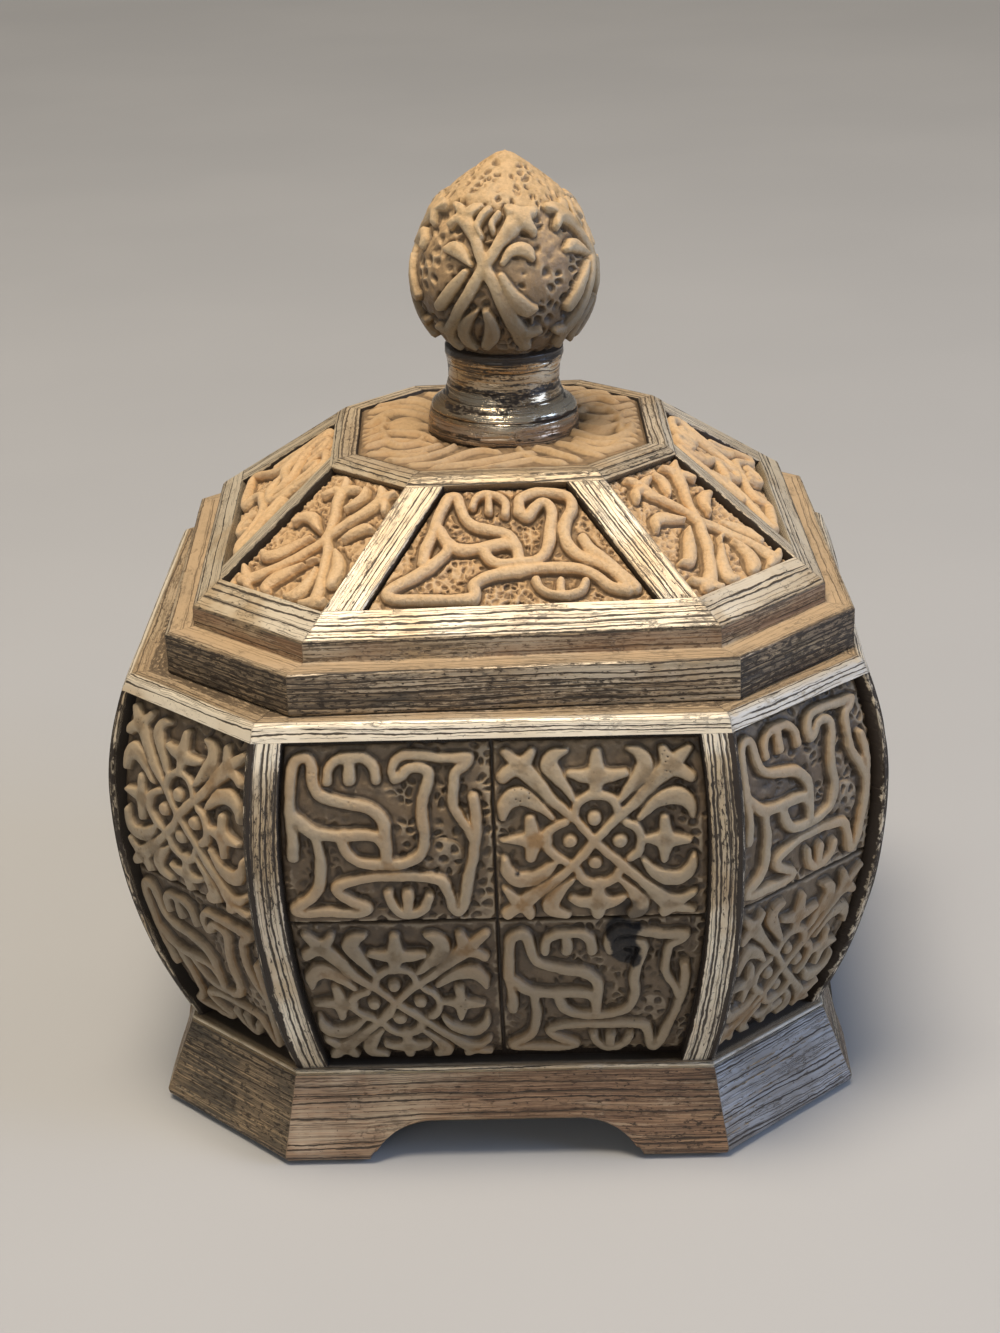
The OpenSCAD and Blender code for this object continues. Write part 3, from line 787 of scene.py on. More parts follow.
            # painted highlight: the rim's band and top a little paler at the front
            if zone in ("band", "top") and not is_lid:
                tn = tn + np.where(face == 0, 0.08, 0.02)
            if zone in ("in", "pocket", "ceiling", "sole", "ring", "hollow"):
                cut = 0.02 + 0.06 * fbm(x / 6.0, path / 6.0, seed, 48)
        if row.get("cut_z"):
            zz = zz - cut * row["cut_z"]
        D = D - cut * row.get("cut_d", 1.0) * (0.0 if zone in ("top",) else 1.0)
        D = np.where(sinkable, D - bed * nd, D)
        zz = np.where(sinkable, zz - bed * nz, zz)
        if not is_lid and zone in ("foot", "sole", "pocket"):
            am = np.where(corner, 0.0, arch_height(x))
            top = 12.6 if zone != "pocket" else 9.6
            zz = am + zz * (top - am) / top
            if zone == "foot":
                base = np.where(zz > 1.6, 48.7 + (52.95 - 48.7) * (12.6 - zz) / 11.0, D)
                D = np.where(corner | (am <= 0), D, base - cut)
        co[r, :, 0] = n[:, 0] * D + t[:, 0] * x
        co[r, :, 1] = n[:, 1] * D + t[:, 1] * x
        co[r, :, 2] = zz
        sv[r, :, 0], sv[r, :, 1] = s_, t_
        sv[r, :, 2] = seed * 7.7
        gr[r], tone[r], bole[r], dust_and_top_light[r], wash[r], painted_cool_light[r] = bold, tn, bo, ds, wa, painted_cool_light_row
    lo, hi = shell.rows[0]["z"], shell.rows[-1]["z"]
    flat = co.reshape(-1, 3)
    flat = np.vstack([flat, [0, 0, lo], [0, 0, hi]])
    k = R * C
    faces = [quads(R, C, True), fan(np.arange(C), k, True), fan(np.arange((R - 1) * C, R * C), k + 1)]
    def tail(v):
        v = v.reshape(k, -1)
        return np.vstack([v, v[:1], v[-1:]])
    attrs = dict(sv=tail(sv), gr=tail(gr)[:, 0], tone=tail(tone)[:, 0], bole=tail(bole)[:, 0], dust_and_top_light=tail(dust_and_top_light)[:, 0], wash=tail(wash)[:, 0], painted_cool_light=tail(painted_cool_light)[:, 0])
    return flat, faces, attrs


LOOK = {
    "in": dict(tone=0.15, g=0.0, bole=0.1, wob=0.0),
    "top": dict(bold=0.75, tone=0.50, g=0.85, bole=0.15, cut_z=1.0, dust_and_top_light=0.55, period=1.1),
    # painted highlight: the band's tone above 1 makes its leaf paler all round
    "band": dict(bold=0.60, tone=1.18, g=0.8, bole=0.05, period=1.1, depth=0.15, dust_and_top_light=0.25),
    "ledge": dict(tone=0.62, g=0.2, bole=0.2, cut_z=0.6, dust_and_top_light=0.35, cut_d=0.0, wash=0.15),
    "bead": dict(tone=0.92, g=0.15, bole=0.0, dust_and_top_light=0.1, wash=0.0),
    "foot": dict(bold=0.50, tone=0.47, g=1.0, bole=0.40, period=0.95, depth=0.20, dust_and_top_light=0.1),
    "sole": dict(tone=0.1, g=0.0), "pocket": dict(tone=0.1, g=0.0), "ceiling": dict(tone=0.1, g=0.0),
    "panel": dict(),
}
for row in sh.rows:
    for key, val in LOOK[row["zone"]].items():
        row.setdefault(key, val)
flat, faces, attrs = build_shell(sh, SUNK, False)
me = thin(raw_mesh("body_frame", flat, faces, attrs), 160000)
piece("body_frame", me, points(me), M_LEAF, "box", nodes=("body",), sharp=48)

# ---------------------------------------------------------------- tiles of the body
BEAST = [
    [(.058, .406, .75), (.062, .475, .75), (.062, .555, .75), (.057, .61, .75), (.049, .672, .75), (.043, .748, .75), (.041, .808, .75), (.044, .875, .75), (.061, .917, .75), (.086, .934, .75), (.116, .932, .75), (.134, .906, .75), (.146, .858, .75), (.156, .805, .75), (.177, .76, .75), (.221, .728, .75), (.286, .706, .75), (.358, .691, .75), (.415, .674, .75), (.464, .635, .75), (.491, .584, .75), (.496, .505, .75), (.496, .39, .75)],
    [(.051, .649, .79), (.1, .601, .79), (.136, .561, .79), (.185, .536, .79), (.249, .528, .79), (.32, .529, .79), (.405, .529, .79), (.462, .517, .79), (.489, .481, .79)],
    [(.288, .518, .75), (.303, .461, .75), (.329, .412, .75), (.37, .378, .75), (.427, .367, .75), (.498, .362, .75), (.562, .362, .75), (.613, .379, .75), (.653, .411, .75), (.675, .468, .75), (.681, .532, .75), (.674, .595, .75), (.671, .656, .75), (.679, .717, .75), (.694, .777, .75), (.705, .829, .75), (.693, .861, .75), (.651, .874, .75), (.607, .865, .75), (.572, .829, .75), (.543, .818, .75)],
    [(.541, .822, .68), (.531, .856, .68), (.541, .896, .68), (.573, .929, .68), (.628, .939, .68), (.694, .933, .68), (.766, .924, .68), (.839, .919, .68), (.904, .917, .6), (.879, .885, .68), (.835, .856, .68), (.82, .804, .68), (.815, .737, .68), (.821, .668, .68), (.844, .606, .68), (.882, .542, .68), (.905, .494, .68)],
    [(.911, .712, .75), (.92, .65, .75), (.924, .573, .75), (.921, .494, .75), (.913, .413, .75), (.899, .329, .75), (.882, .243, .75), (.864, .155, .75), (.835, .076, .75), (.809, .093, .75), (.792, .166, .75), (.77, .237, .75), (.736, .271, .75), (.665, .282, .75), (.58, .29, .75), (.494, .292, .75), (.415, .29, .75), (.335, .271, .75), (.269, .244, .75), (.251, .216, .75), (.278, .18, .75), (.34, .142, .75), (.39, .109, .7), (.364, .085, .75), (.291, .08, .75), (.183, .086, .75), (.096, .085, .75), (.045, .101, .7), (.079, .131, .75), (.13, .17, .75), (.166, .227, .75), (.179, .305, .75), (.186, .39, .75), (.179, .464, .75), (.172, .536, .75)],
    [(.222, .819, .68), (.222, .871, .68), (.243, .915, .68), (.285, .936, .68), (.336, .938, .68), (.387, .933, .68), (.425, .903, .68), (.444, .865, .68), (.453, .813, .68)],
    [(.323, .927, .74), (.327, .82, .74)],
    [(.492, .192, .66), (.502, .138, .68), (.531, .087, .68), (.573, .063, .68), (.624, .071, .68), (.666, .106, .68), (.692, .169, .66)],
    [(.585, .185, .74), (.579, .081, .74)],
]
CROSS = [
    # the four arms, each with three lobes at its end
    [(.469, .472, .86), (.394, .568, .86), (.342, .622, .88), (.277, .686, .92), (.219, .767, 1.08), (.167, .833, 1.3), (.134, .869, 1.45)],
    [(.137, .866, 1.2), (.092, .849, 1.15), (.050, .815, .95)],
    [(.131, .877, 1.1), (.094, .913, 1.0), (.062, .945, .75)],
    [(.141, .883, 1.1), (.168, .911, 1.0), (.19, .945, .75)],
    [(.469, .472, .86), (.564, .572, .86), (.642, .644, .90), (.716, .726, 1.0), (.783, .797, 1.25), (.836, .845, 1.45)],
    [(.832, .845, 1.2), (.825, .893, 1.1), (.812, .935, .85)],
    [(.851, .859, 1.1), (.896, .895, .95), (.945, .935, .65)],
    [(.842, .838, 1.2), (.889, .823, 1.1), (.935, .79, .85)],
    [(.469, .472, .86), (.403, .379, .88), (.333, .307, .90), (.25, .231, 1.0), (.18, .165, 1.25), (.124, .111, 1.45)],
    [(.12, .115, 1.1), (.079, .143, 1.0), (.043, .185, .7)],
    [(.109, .094, 1.15), (.067, .060, 1.05), (.045, .04, .8)],
    [(.137, .101, 1.15), (.155, .062, 1.05), (.165, .035, .8)],
    [(.469, .472, .86), (.559, .367, .88), (.633, .283, .90), (.715, .206, 1.0), (.771, .14, 1.25), (.825, .090, 1.45)],
    [(.825, .109, 1.1), (.875, .115, 1.0), (.93, .155, .7)],
    [(.818, .078, 1.15), (.808, .050, 1.05), (.798, .035, .8)],
    [(.835, .075, 1.05), (.885, .055, .9), (.93, .045, .65)],
    # four roundels with an arc round each
    [(.472, .593, 1.18), (.473, .592, 1.18)],
    [(.465, .341, 1.18), (.466, .34, 1.18)],
    [(.592, .465, 1.18), (.593, .464, 1.18)],
    [(.345, .467, 1.18), (.346, .466, 1.18)],
    [(.375, .618, .78), (.392, .668, .78), (.434, .703, .78), (.483, .713, .78), (.546, .698, .78), (.577, .665, .78), (.590, .625, .78)],
    [(.326, .572, .78), (.267, .544, .78), (.236, .508, .78), (.227, .474, .78), (.238, .432, .78), (.268, .388, .78), (.318, .352, .78)],
    [(.628, .568, .78), (.667, .535, .78), (.686, .489, .78), (.687, .447, .78), (.672, .397, .78), (.634, .362, .78)],
    [(.378, .302, .78), (.394, .258, .78), (.425, .226, .78), (.476, .212, .78), (.530, .226, .78), (.566, .258, .78), (.580, .296, .78)],
    # the stars
    [(.493, .930, .85), (.490, .880, 1.15), (.489, .825, 1.45), (.483, .765, 1.1), (.48, .717, 1.0)],
    [(.365, .822, .75), (.412, .813, 1.0), (.488, .811, 1.35), (.562, .810, 1.05), (.622, .818, .75)],
    [(.040, .481, .5), (.095, .485, .9), (.168, .479, 1.35), (.228, .481, 1.1)],
    [(.168, .594, .85), (.174, .542, 1.05), (.172, .471, 1.35), (.167, .412, 1.0), (.162, .365, .75)],
    [(.705, .475, .6), (.748, .470, .95), (.800, .463, 1.3), (.855, .460, .95), (.912, .455, .6)],
    [(.800, .578, .8), (.800, .522, .95), (.800, .459, 1.3), (.797, .400, .95), (.790, .352, .7)],
    [(.481, .22, .95), (.482, .17, 1.1), (.483, .118, 1.4), (.481, .066, 1.1), (.482, .040, .95)],
    [(.355, .136, .6), (.408, .113, .95), (.483, .116, 1.3), (.550, .112, .95), (.605, .136, .6)],
    # eight fat comma leaves
    [(.372, .700, .62), (.322, .779, 1.05), (.285, .844, 1.35), (.272, .890, 1.35), (.300, .930, 1.05), (.352, .950, .55)],
    [(.265, .600, .60), (.201, .673, 1.05), (.142, .713, 1.35), (.095, .712, 1.35), (.058, .668, 1.1), (.045, .610, .65)],
    [(.601, .690, .62), (.650, .757, 1.05), (.698, .813, 1.35), (.720, .868, 1.3), (.695, .920, 1.05), (.645, .945, .5)],
    [(.690, .588, .55), (.744, .654, 1.0), (.808, .692, 1.3), (.875, .692, 1.3), (.918, .648, 1.05), (.935, .585, .5)],
    [(.275, .350, .60), (.207, .282, 1.05), (.137, .246, 1.35), (.085, .250, 1.3), (.050, .296, 1.05), (.046, .366, .55)],
    [(.355, .248, .50), (.294, .184, 1.05), (.260, .116, 1.4), (.278, .066, 1.25), (.345, .035, .6)],
    [(.695, .350, .55), (.749, .284, 1.0), (.811, .247, 1.3), (.872, .250, 1.25), (.918, .298, 1.0), (.930, .370, .5)],
    [(.580, .250, .45), (.638, .180, .95), (.683, .108, 1.4), (.678, .062, 1.3), (.640, .035, .9)],
]
TW, TH = 29.2, 27.5  # a tile's size before it takes its place on the curved panel


def raised(ground, dist, width, foot, tall, flat=0.80, wall=0.58, crown=0.14, off=0.20):
    """The ground with strokes on it, by the distance from their edges: a steep wall and a softly rounded top."""
    rise = smooth((off - dist) / wall)
    inside = np.clip((off * 0.5 - dist) / np.maximum(width, 0.3), 0, 1)
    top = foot + tall * (flat + (1 - flat) * np.sqrt(np.clip(1 - (1 - inside) ** 2, 0, 1))) + crown * inside
    return ground * (1 - rise) + np.maximum(top, ground) * rise


def pitted(x, y, seed, size=1.5, z=0.0, ragged=0.12, soft=0.24):
    """Pits with soft rims: 1 at the bottom of a pit, 0 on the ground between the pits."""
    wx = x + 0.42 * noise(x / 1.5, y / 1.5, z / 1.5, seed + 3) + ragged * noise(x / 0.5, y / 0.5, z / 0.5, seed + 5)
    wy = y + 0.42 * noise(x / 1.5 + 9, y / 1.5, z / 1.5, seed + 4) + ragged * noise(x / 0.5 + 9, y / 0.5, z / 0.5, seed + 6)
    f1, f2 = cells(wx / size, wy / size, z / size if np.ndim(z) else 0.0, seed)
    deep = smooth(0.85 + 0.9 * noise(x / 1.9, y / 1.9, z / 1.9, seed + 7))
    return smooth((0.50 - f1) / soft) * smooth((f2 - f1 - 0.02) / (soft - 0.02)) * deep


def motif(strokes, smooth_ground):
    nx, ny = 262, 246
    u, v = np.meshgrid(np.linspace(0, 1, nx), np.linspace(0, 1, ny))
    P = np.stack([u.ravel() * TW, v.ravel() * TH], -1)
    P2 = P.copy()
    # strokes drawn by hand: they waver a little
    P2[:, 0] += 0.10 * noise(P[:, 0] / 2.6, P[:, 1] / 2.6, 0.3, 21) + 0.05 * noise(P[:, 0] / 0.9, P[:, 1] / 0.9, 0.3, 22)
    P2[:, 1] += 0.10 * noise(P[:, 0] / 2.6, P[:, 1] / 2.6, 7.3, 23) + 0.05 * noise(P[:, 0] / 0.9, P[:, 1] / 0.9, 7.3, 24)
    lines = [curve([(a * TW, b * TH, w) for a, b, w in s]) for s in strokes]
    dist, width = field(P2, lines)
    return dict(nx=nx, ny=ny, u=u, v=v, dist=blur(dist.reshape(ny, nx), 1.7), width=width.reshape(ny, nx), smooth_ground=smooth_ground)


BEAST = [[(a, b, w + 0.17) for a, b, w in s] for s in BEAST]
CROSS = [[(a, b, w - 0.02) for a, b, w in s] for s in CROSS]
MOTIFS = {"beast": motif(BEAST, 0.25), "cross": motif(CROSS, 0.60)}


def sampled(grid, r, c):
    """The grid at broken row and column numbers."""
    r = np.clip(r, 0, grid.shape[0] - 1.001)
    c = np.clip(c, 0, grid.shape[1] - 1.001)
    i, j = r.astype(int), c.astype(int)
    a, b = r - i, c - j
    return (grid[i, j] * (1 - a) * (1 - b) + grid[i + 1, j] * a * (1 - b) + grid[i, j + 1] * (1 - a) * b + grid[i + 1, j + 1] * a * b)


def tile_height(m, seed, outer, stain_and_shade=None):
    """Heights of one cast tile in millimetres, with its own ground, and its attributes.
    outer tells which of its edges, left, right, bottom and top, lie along the frame."""
    x, y = m["u"] * TW, m["v"] * TH
    # no two casts are quite alike
    step = TW / (m["nx"] - 1)
    dx = 0.34 * noise(x / 8.0, y / 8.0, seed * 1.9, 51) + 0.10 * noise(x / 2.4, y / 2.4, seed * 1.9, 52)
    dy = 0.34 * noise(x / 8.0, y / 8.0, seed * 2.3 + 4, 53) + 0.10 * noise(x / 2.4, y / 2.4, seed * 2.3, 54)
    rr, cc = (y + dy) / step, (x + dx) / step
    d, wd = sampled(m["dist"], rr, cc), sampled(m["width"], rr, cc)
    d = d + 0.10 * noise(x / 3.2, y / 3.2, seed, 55) + 0.05 * noise(x / 0.8, y / 0.8, seed, 56)
    tall = 1.02 + 0.16 * noise(x / 7.0, y / 7.0, seed * 0.77, 31)
    rough_here = smooth(0.70 + 0.9 * noise(x / 6.5, y / 6.5, seed * 1.31, 32) - m["smooth_ground"] * 0.75)
    ground = 0.30 + 0.10 * fbm(x / 3.0, y / 3.0, seed, 33)
    if m is MOTIFS["beast"]:
        # more and deeper pits on the right, and a low round boss among them
        rough_here = np.maximum(rough_here, smooth((m["u"] - 0.42) / 0.2))
        rough_here = rough_here * (0.45 + 0.55 * smooth((m["u"] - 0.15) / 0.2))
        q = np.hypot(x - 0.765 * TW, y - 0.375 * TH)
        ground = ground + 0.34 * smooth((3.3 - q) / 0.8)
    pit = pitted(x, y, 60 + seed * 11, 1.75, ragged=0.06, soft=0.30)
    if m is MOTIFS["beast"]:
        petal = np.hypot(x - 0.765 * TW, y - 0.375 * TH)
        turn_ = np.arctan2(y - 0.375 * TH, x - 0.765 * TW)
        turn_ = turn_ + 0.25 * noise(x / 1.6, y / 1.6, seed, 39)
        flower = smooth((0.80 - np.hypot(petal - 2.05, 1.05 * np.sin(3 * turn_ + 0.6))) / 0.42)
        flower = np.maximum(flower, smooth((0.80 - petal) / 0.40))
        pit = np.where(petal < 3.2, flower, pit)
        rough_here = np.maximum(rough_here, smooth((3.4 - petal) / 0.3))
    lump = fbm(x / 1.3, y / 1.3, seed, 34)
    ground = ground - rough_here * 0.46 * pit + (0.11 + 0.07 * (1 - rough_here)) * lump
    # the ground dips along the foot of the strokes
    ground = ground - 0.16 * smooth(1 - (d - 0.12) / 0.55)
    crust = 0.05 * fbm(x / 0.55, y / 0.55, seed, 35) + 0.07 * noise(x / 1.9, y / 1.9, seed, 36)
    h = raised(ground, d, wd, 0.24, tall) + crust * smooth(1 - d / 0.4)
    # broken casting bubbles on the strokes' tops here and there
    b1, _ = cells(x / 1.1, y / 1.1, 0.0, 200 + seed)
    bub = smooth((0.13 - b1) / 0.08) * smooth((noise(x / 4.0, y / 4.0, seed, 57) - 0.58) / 0.2)
    h = h - 0.22 * bub * smooth(-d / 0.2)
    # the tile's own edge is rounded over, and sinks towards the frame, where it is also painted darker as shade under
    # the rib
    ex = np.minimum(x, TW - x)
    ey = np.minimum(y, TH - y)
    border = smooth(np.minimum(ex, ey) / 0.27)
    gone = np.ones_like(x)
    for on, e in zip(outer, (x, TW - x, y, TH - y)):
        if on:
            gone = gone * (0.25 + 0.75 * smooth((e - 0.15) / 1.0))
    h = h * (0.45 + 0.55 * border) - 0.20 * (1 - border) - 0.30 * (1 - gone)
    cav = (blur(h, 0.75 / step) - h) * 1.0 + 0.5 * (blur(h, 0.25 / step) - h)
    # dark joints at the tile's edges, and painted shade along the frame: the ground darker and the strokes less bright
    # there
    cav = cav + 0.35 * (1 - border) + 0.45 * (1 - gone)
    top = smooth((0.10 - d) / 0.34) * (0.86 + 0.14 * noise(x / 2.0, y / 2.0, seed, 37)) * (0.4 + 0.6 * gone)
    hgt = np.clip(0.25 + 0.20 * lump - 0.24 * pit * rough_here + top * 0.8, 0, 1)
    st = np.zeros_like(h)
    if seed % 3 == 0 or stain_and_shade:
        # a little black paint has run into a few of the bubbles
        st = 0.8 * bub * smooth(-d / 0.2)
    for sx, sy, sr, ss in stain_and_shade or ():
        q = np.hypot((x - sx * TW), (y - sy * TH)) / sr + 0.35 * noise(x / 1.1, y / 1.1, seed, 38)
        st = np.maximum(st, ss * smooth((1.25 - q) / 0.5))
    return h, cav, hgt, st


def body_tile(k, corner, col, row, kind, seed, stain_and_shade=None):
    m = MOTIFS[kind]
    outer = (corner or col == "left", corner or col == "right", row == "bottom", row == "top")
    h, cav, hgt, st = tile_height(m, seed, outer, stain_and_shade)
    # painted shade: every body tile a little darker, the lower row more, as the body turns away from the light above
    st = np.maximum(st, (0.20 if row == "top" else 0.38) + 0.05 * noise(m["u"] * 5, m["v"] * 5, seed, 40))
    nx, ny = m["nx"], m["ny"]
    top = np.stack([m["u"], m["v"], h], -1).reshape(-1, 3)
    # closed: a skirt down all four edges, and a flat back
    ring = np.concatenate([np.arange(nx), np.arange(1, ny) * nx + nx - 1, (ny - 1) * nx + np.arange(nx - 2, -1, -1), np.arange(ny - 2, 0, -1) * nx])
    down = top[ring].copy()
    down[:, 2] = -0.85
    base = len(top)
    skirt = np.stack([ring, np.arange(len(ring)) + base, np.roll(np.arange(len(ring)), -1) + base, np.roll(ring, -1)], -1)
    centre = np.array([[0.5, 0.5, -0.85]])
    co = np.vstack([top, down, centre])
    grid = np.arange(nx * ny).reshape(ny, nx)
    q = np.stack([grid[:-1, :-1], grid[:-1, 1:], grid[1:, 1:], grid[1:, :-1]], -1).reshape(-1, 4)
    faces = [q, skirt, fan(np.arange(len(ring)) + base, len(co) - 1, True)]
    def full(a, rim_value):
        return np.concatenate([a.ravel(), np.full(len(ring) + 1, rim_value)])
    attrs = dict(hgt=full(hgt, 0.0), cav=full(cav, 0.4), stain_and_shade=full(st, 0.0))
    flat = co.copy()
    flat[:, 0] *= TW
    flat[:, 1] *= TH
    me = thin(raw_mesh("tile", flat, faces, attrs), {0: 26000, 1: 22000, 7: 22000, 3: 13000, 4: 13000, 5: 13000}.get(k, 17000))
    p = points(me)
    u, v, hh = p[:, 0] / TW, p[:, 1] / TH, p[:, 2]
    r_lo, r_up = 82 - 2.3, 48 - 2.3
    def arc_of(z):
        return -math.asin((BELLY - z) / 82) * r_lo if z < BELLY else math.asin((z - BELLY) / 48) * r_up
    a0, a1 = (arc_of(TILE_Z + 0.17), arc_of(Z1 - 0.30)) if row == "top" else (arc_of(Z0 + 0.14), arc_of(TILE_Z - 0.17))
    a = a0 + (a1 - a0) * v
    lo = a < 0
    q = np.where(lo, a / r_lo, a / r_up)
    out = OUT if corner else 0.0
    D = np.where(lo, 57.4 - 82 + (r_lo + hh) * np.cos(q), 57.4 - 48 + (r_up + hh) * np.cos(q)) + out
    z = BELLY + np.where(lo, (r_lo + hh) * np.sin(q), (r_up + hh) * np.sin(q))
    w = panel_half(np.clip(BELLY + np.where(lo, r_lo * np.sin(q), r_up * np.sin(q)), Z0, Z1), corner)
    if corner:
        x = (2 * u - 1) * (w - 0.10)
    elif col == "left":
        x = -(w - 0.16) + u * (w - 0.16 - 0.15)
    else:
        x = 0.15 + u * (w - 0.16 - 0.15)
    ang = math.radians(45 * k)
    xy = np.stack([math.sin(ang) * D + math.cos(ang) * x, -math.cos(ang) * D + math.sin(ang) * x], -1)
    co = np.column_stack([xy, z])
    name = f"tile_{k}_{row}" + ("" if corner else "_" + col)
    piece(name, me, co, M_BODY, "box", nodes=("body",))


count = 0
for k in range(8):
    corner = k % 2 == 1
    if corner:
        # the left corner has the cross above, the next one the beast above
        upper = "beast" if k in (1, 5) else "cross"
        lower = "cross" if upper == "beast" else "beast"
        for row, kind in (("top", upper), ("bottom", lower)):
            count += 1
            body_tile(k, True, None, row, kind, count)
    else:
        for col in ("left", "right"):
            for row in ("top", "bottom"):
                first = (col == "left") == (row == "top")
                kind = "beast" if first else "cross"
                count += 1
                stain_and_shade = None
                if k == 0 and col == "right" and row == "bottom":
                    stain_and_shade = [(0.600, 0.90, 2.5, 1.0), (0.625, 0.79, 2.1, 1.0), (0.62, 0.22, 1.5, 0.45)]
                if k == 0 and col == "right" and row == "top":
                    stain_and_shade = [(0.10, 0.29, 0.38, 0.9), (0.63, 0.02, 2.6, 0.6)]
                body_tile(k, False, col, row, kind, count, stain_and_shade)

# ---------------------------------------------------------------- lid frame: slab, step, slope bands, ring and hollow
lid_wide = face_columns(26, spread([(1.0, 22, 1.0)]), 5.6)
lid_corner = face_columns(2, spread([(1.0, 11, 1.0)]), 0.4)
lf = Shell(lid_wide, lid_corner, (5.6, 0.4))


def lid_dc(d, inner=False):
    """Corner distance on the slope that goes with the wide distance d."""
    return 53.2 + (26.6 - 53.2) * (46 - d) / (46 - 24.3)


lf.add(90.1, 8.0, 9.0, "hollow")
lf.add(90.1, 15.6, 17.5, "hollow")
lf.add(89.6, 16.6, 18.8, "hollow")
for q in (0.25, 0.5, 0.75):
    lf.add(90.1 + (73.6 - 90.1) * q, 16 + (38.5 - 16) * q, 18 + (45.7 - 18) * q, "hollow")
for z, d in ((73.6, 38.5), (72.0, 38.5), (69.0, 38.5), (67.0, 38.55), (66.7, 38.8)):
    lf.add(z, d, d + 7.2, "hollow")
for z, d in ((66.6, 39.2), (66.6, 41.9), (66.75, 42.35), (67.1, 42.5), (69.2, 42.5), (70.9, 42.5)):
    lf.add(z, d, d + 7.5, "ring")
for d in (42.9, 45.0, 47.5, 49.4):
    lf.add(71.1, d, d + OUT, "under")
for z, d in ((71.2, 49.8), (71.45, 49.97)):
    lf.add(z, d, d + OUT, "slab")
for z in np.linspace(71.65, 77.05, 34):
    lf.add(float(z), 50.0, 57.6, "slab")
for z, d in ((77.2, 49.93), (77.38, 49.78), (77.48, 49.52)):
    lf.add(z, d, d + OUT, "slab_edge")
for d in np.linspace(49.2, 46.35, 9):
    lf.add(77.5, float(d), float(d) + OUT - 0.4 * (49.2 - float(d)) / 2.85, "ledge")
for z in np.linspace(77.6, 80.2, 11):
    lf.add(float(z), 46.0, 53.2, "riser")
for z, d in ((80.4, 45.98), (80.56, 45.86)):
    lf.add(z, d, d + 7.2, "riser_edge")
for k in range(28):
    d = 45.7 - (45.7 - 42.05) * k / 27
    lf.add(80.6 + (46 - d) * 16.8 / 21.7, d, lid_dc(d), "slope_low")
for k in range(30):
    d = 41.97 - (41.97 - 25.83) * k / 29
    lf.add(80.6 + (46 - d) * 16.8 / 21.7, d, lid_dc(d), "slope_panel", stretch=1.63)
for k in range(10):
    d = 25.76 - (25.76 - 24.5) * k / 9
    lf.add(80.6 + (46 - d) * 16.8 / 21.7, d, lid_dc(d), "slope_top")
for d in np.linspace(24.2, 21.95, 15):
    lf.add(97.4, float(d), float(d) * 26.6 / 24.3 + 0.1, "crown", rib=1.0)
for z, d in ((97.3, 21.8), (96.95, 21.74)):
    lf.add(z, d, d * 26.6 / 24.3 + 0.1, "crown_wall")
for d in (21.3, 14.0, 6.0):
    lf.add(96.6, d, d * 26.6 / 24.3, "crown_bed")
UPN, UPD = 21.7 / math.hypot(21.7, 16.8), 16.8 / math.hypot(21.7, 16.8)
LID_LOOK = {
    "hollow": dict(tone=0.15, g=0.0), "ring": dict(tone=0.2, g=0.0), "under": dict(tone=0.2, g=0.0),
    "slab": dict(bold=0.95, tone=0.42, g=1.0, depth=0.22, period=1.0, bole=0.15, wob=0.7),
    "slab_edge": dict(tone=0.60, g=0.2, bole=0.1, dust_and_top_light=0.3),
    "ledge": dict(bold=0.2, tone=0.55, g=0.35, cut_z=0.8, cut_d=0.0, dust_and_top_light=1.0, bole=0.2),
    "riser": dict(bold=0.35, tone=0.50, g=0.7, depth=0.14, bole=0.70, period=1.2, dust_and_top_light=0.2),
    "riser_edge": dict(tone=0.3, g=0.2, wash=0.35),
    "slope_low": dict(bold=0.90, tone=0.85, g=1.0, depth=0.17, period=0.95, cut_z=UPN, cut_d=UPD, bole=0.05, dust_and_top_light=0.25),
    "slope_panel": dict(cut_z=UPN, cut_d=UPD, nz=UPN, nd=UPD),
    "slope_top": dict(tone=0.68, g=0.8, depth=0.13, period=0.9, cut_z=UPN, cut_d=UPD, dust_and_top_light=0.25),
    "crown": dict(bold=0.85, tone=0.68, g=0.95, depth=0.14, period=0.85, cut_z=1.0, cut_d=0.0, bole=0.06, dust_and_top_light=0.35),
    "crown_wall": dict(tone=0.3, g=0.0, wash=1.2), "crown_bed": dict(tone=0.2, g=0.0, cut_z=1.0, cut_d=0.0, wash=1.2),
}
for row in lf.rows:
    for key, val in LID_LOOK[row["zone"]].items():
        row.setdefault(key, val)
flat, faces, attrs = build_shell(lf, 1.9, True)
me = thin(raw_mesh("lid_frame", flat, faces, attrs), 105000)
piece("lid_frame", me, lid_place(points(me)), M_LEAF, "lid", nodes=("lid",), sharp=48)

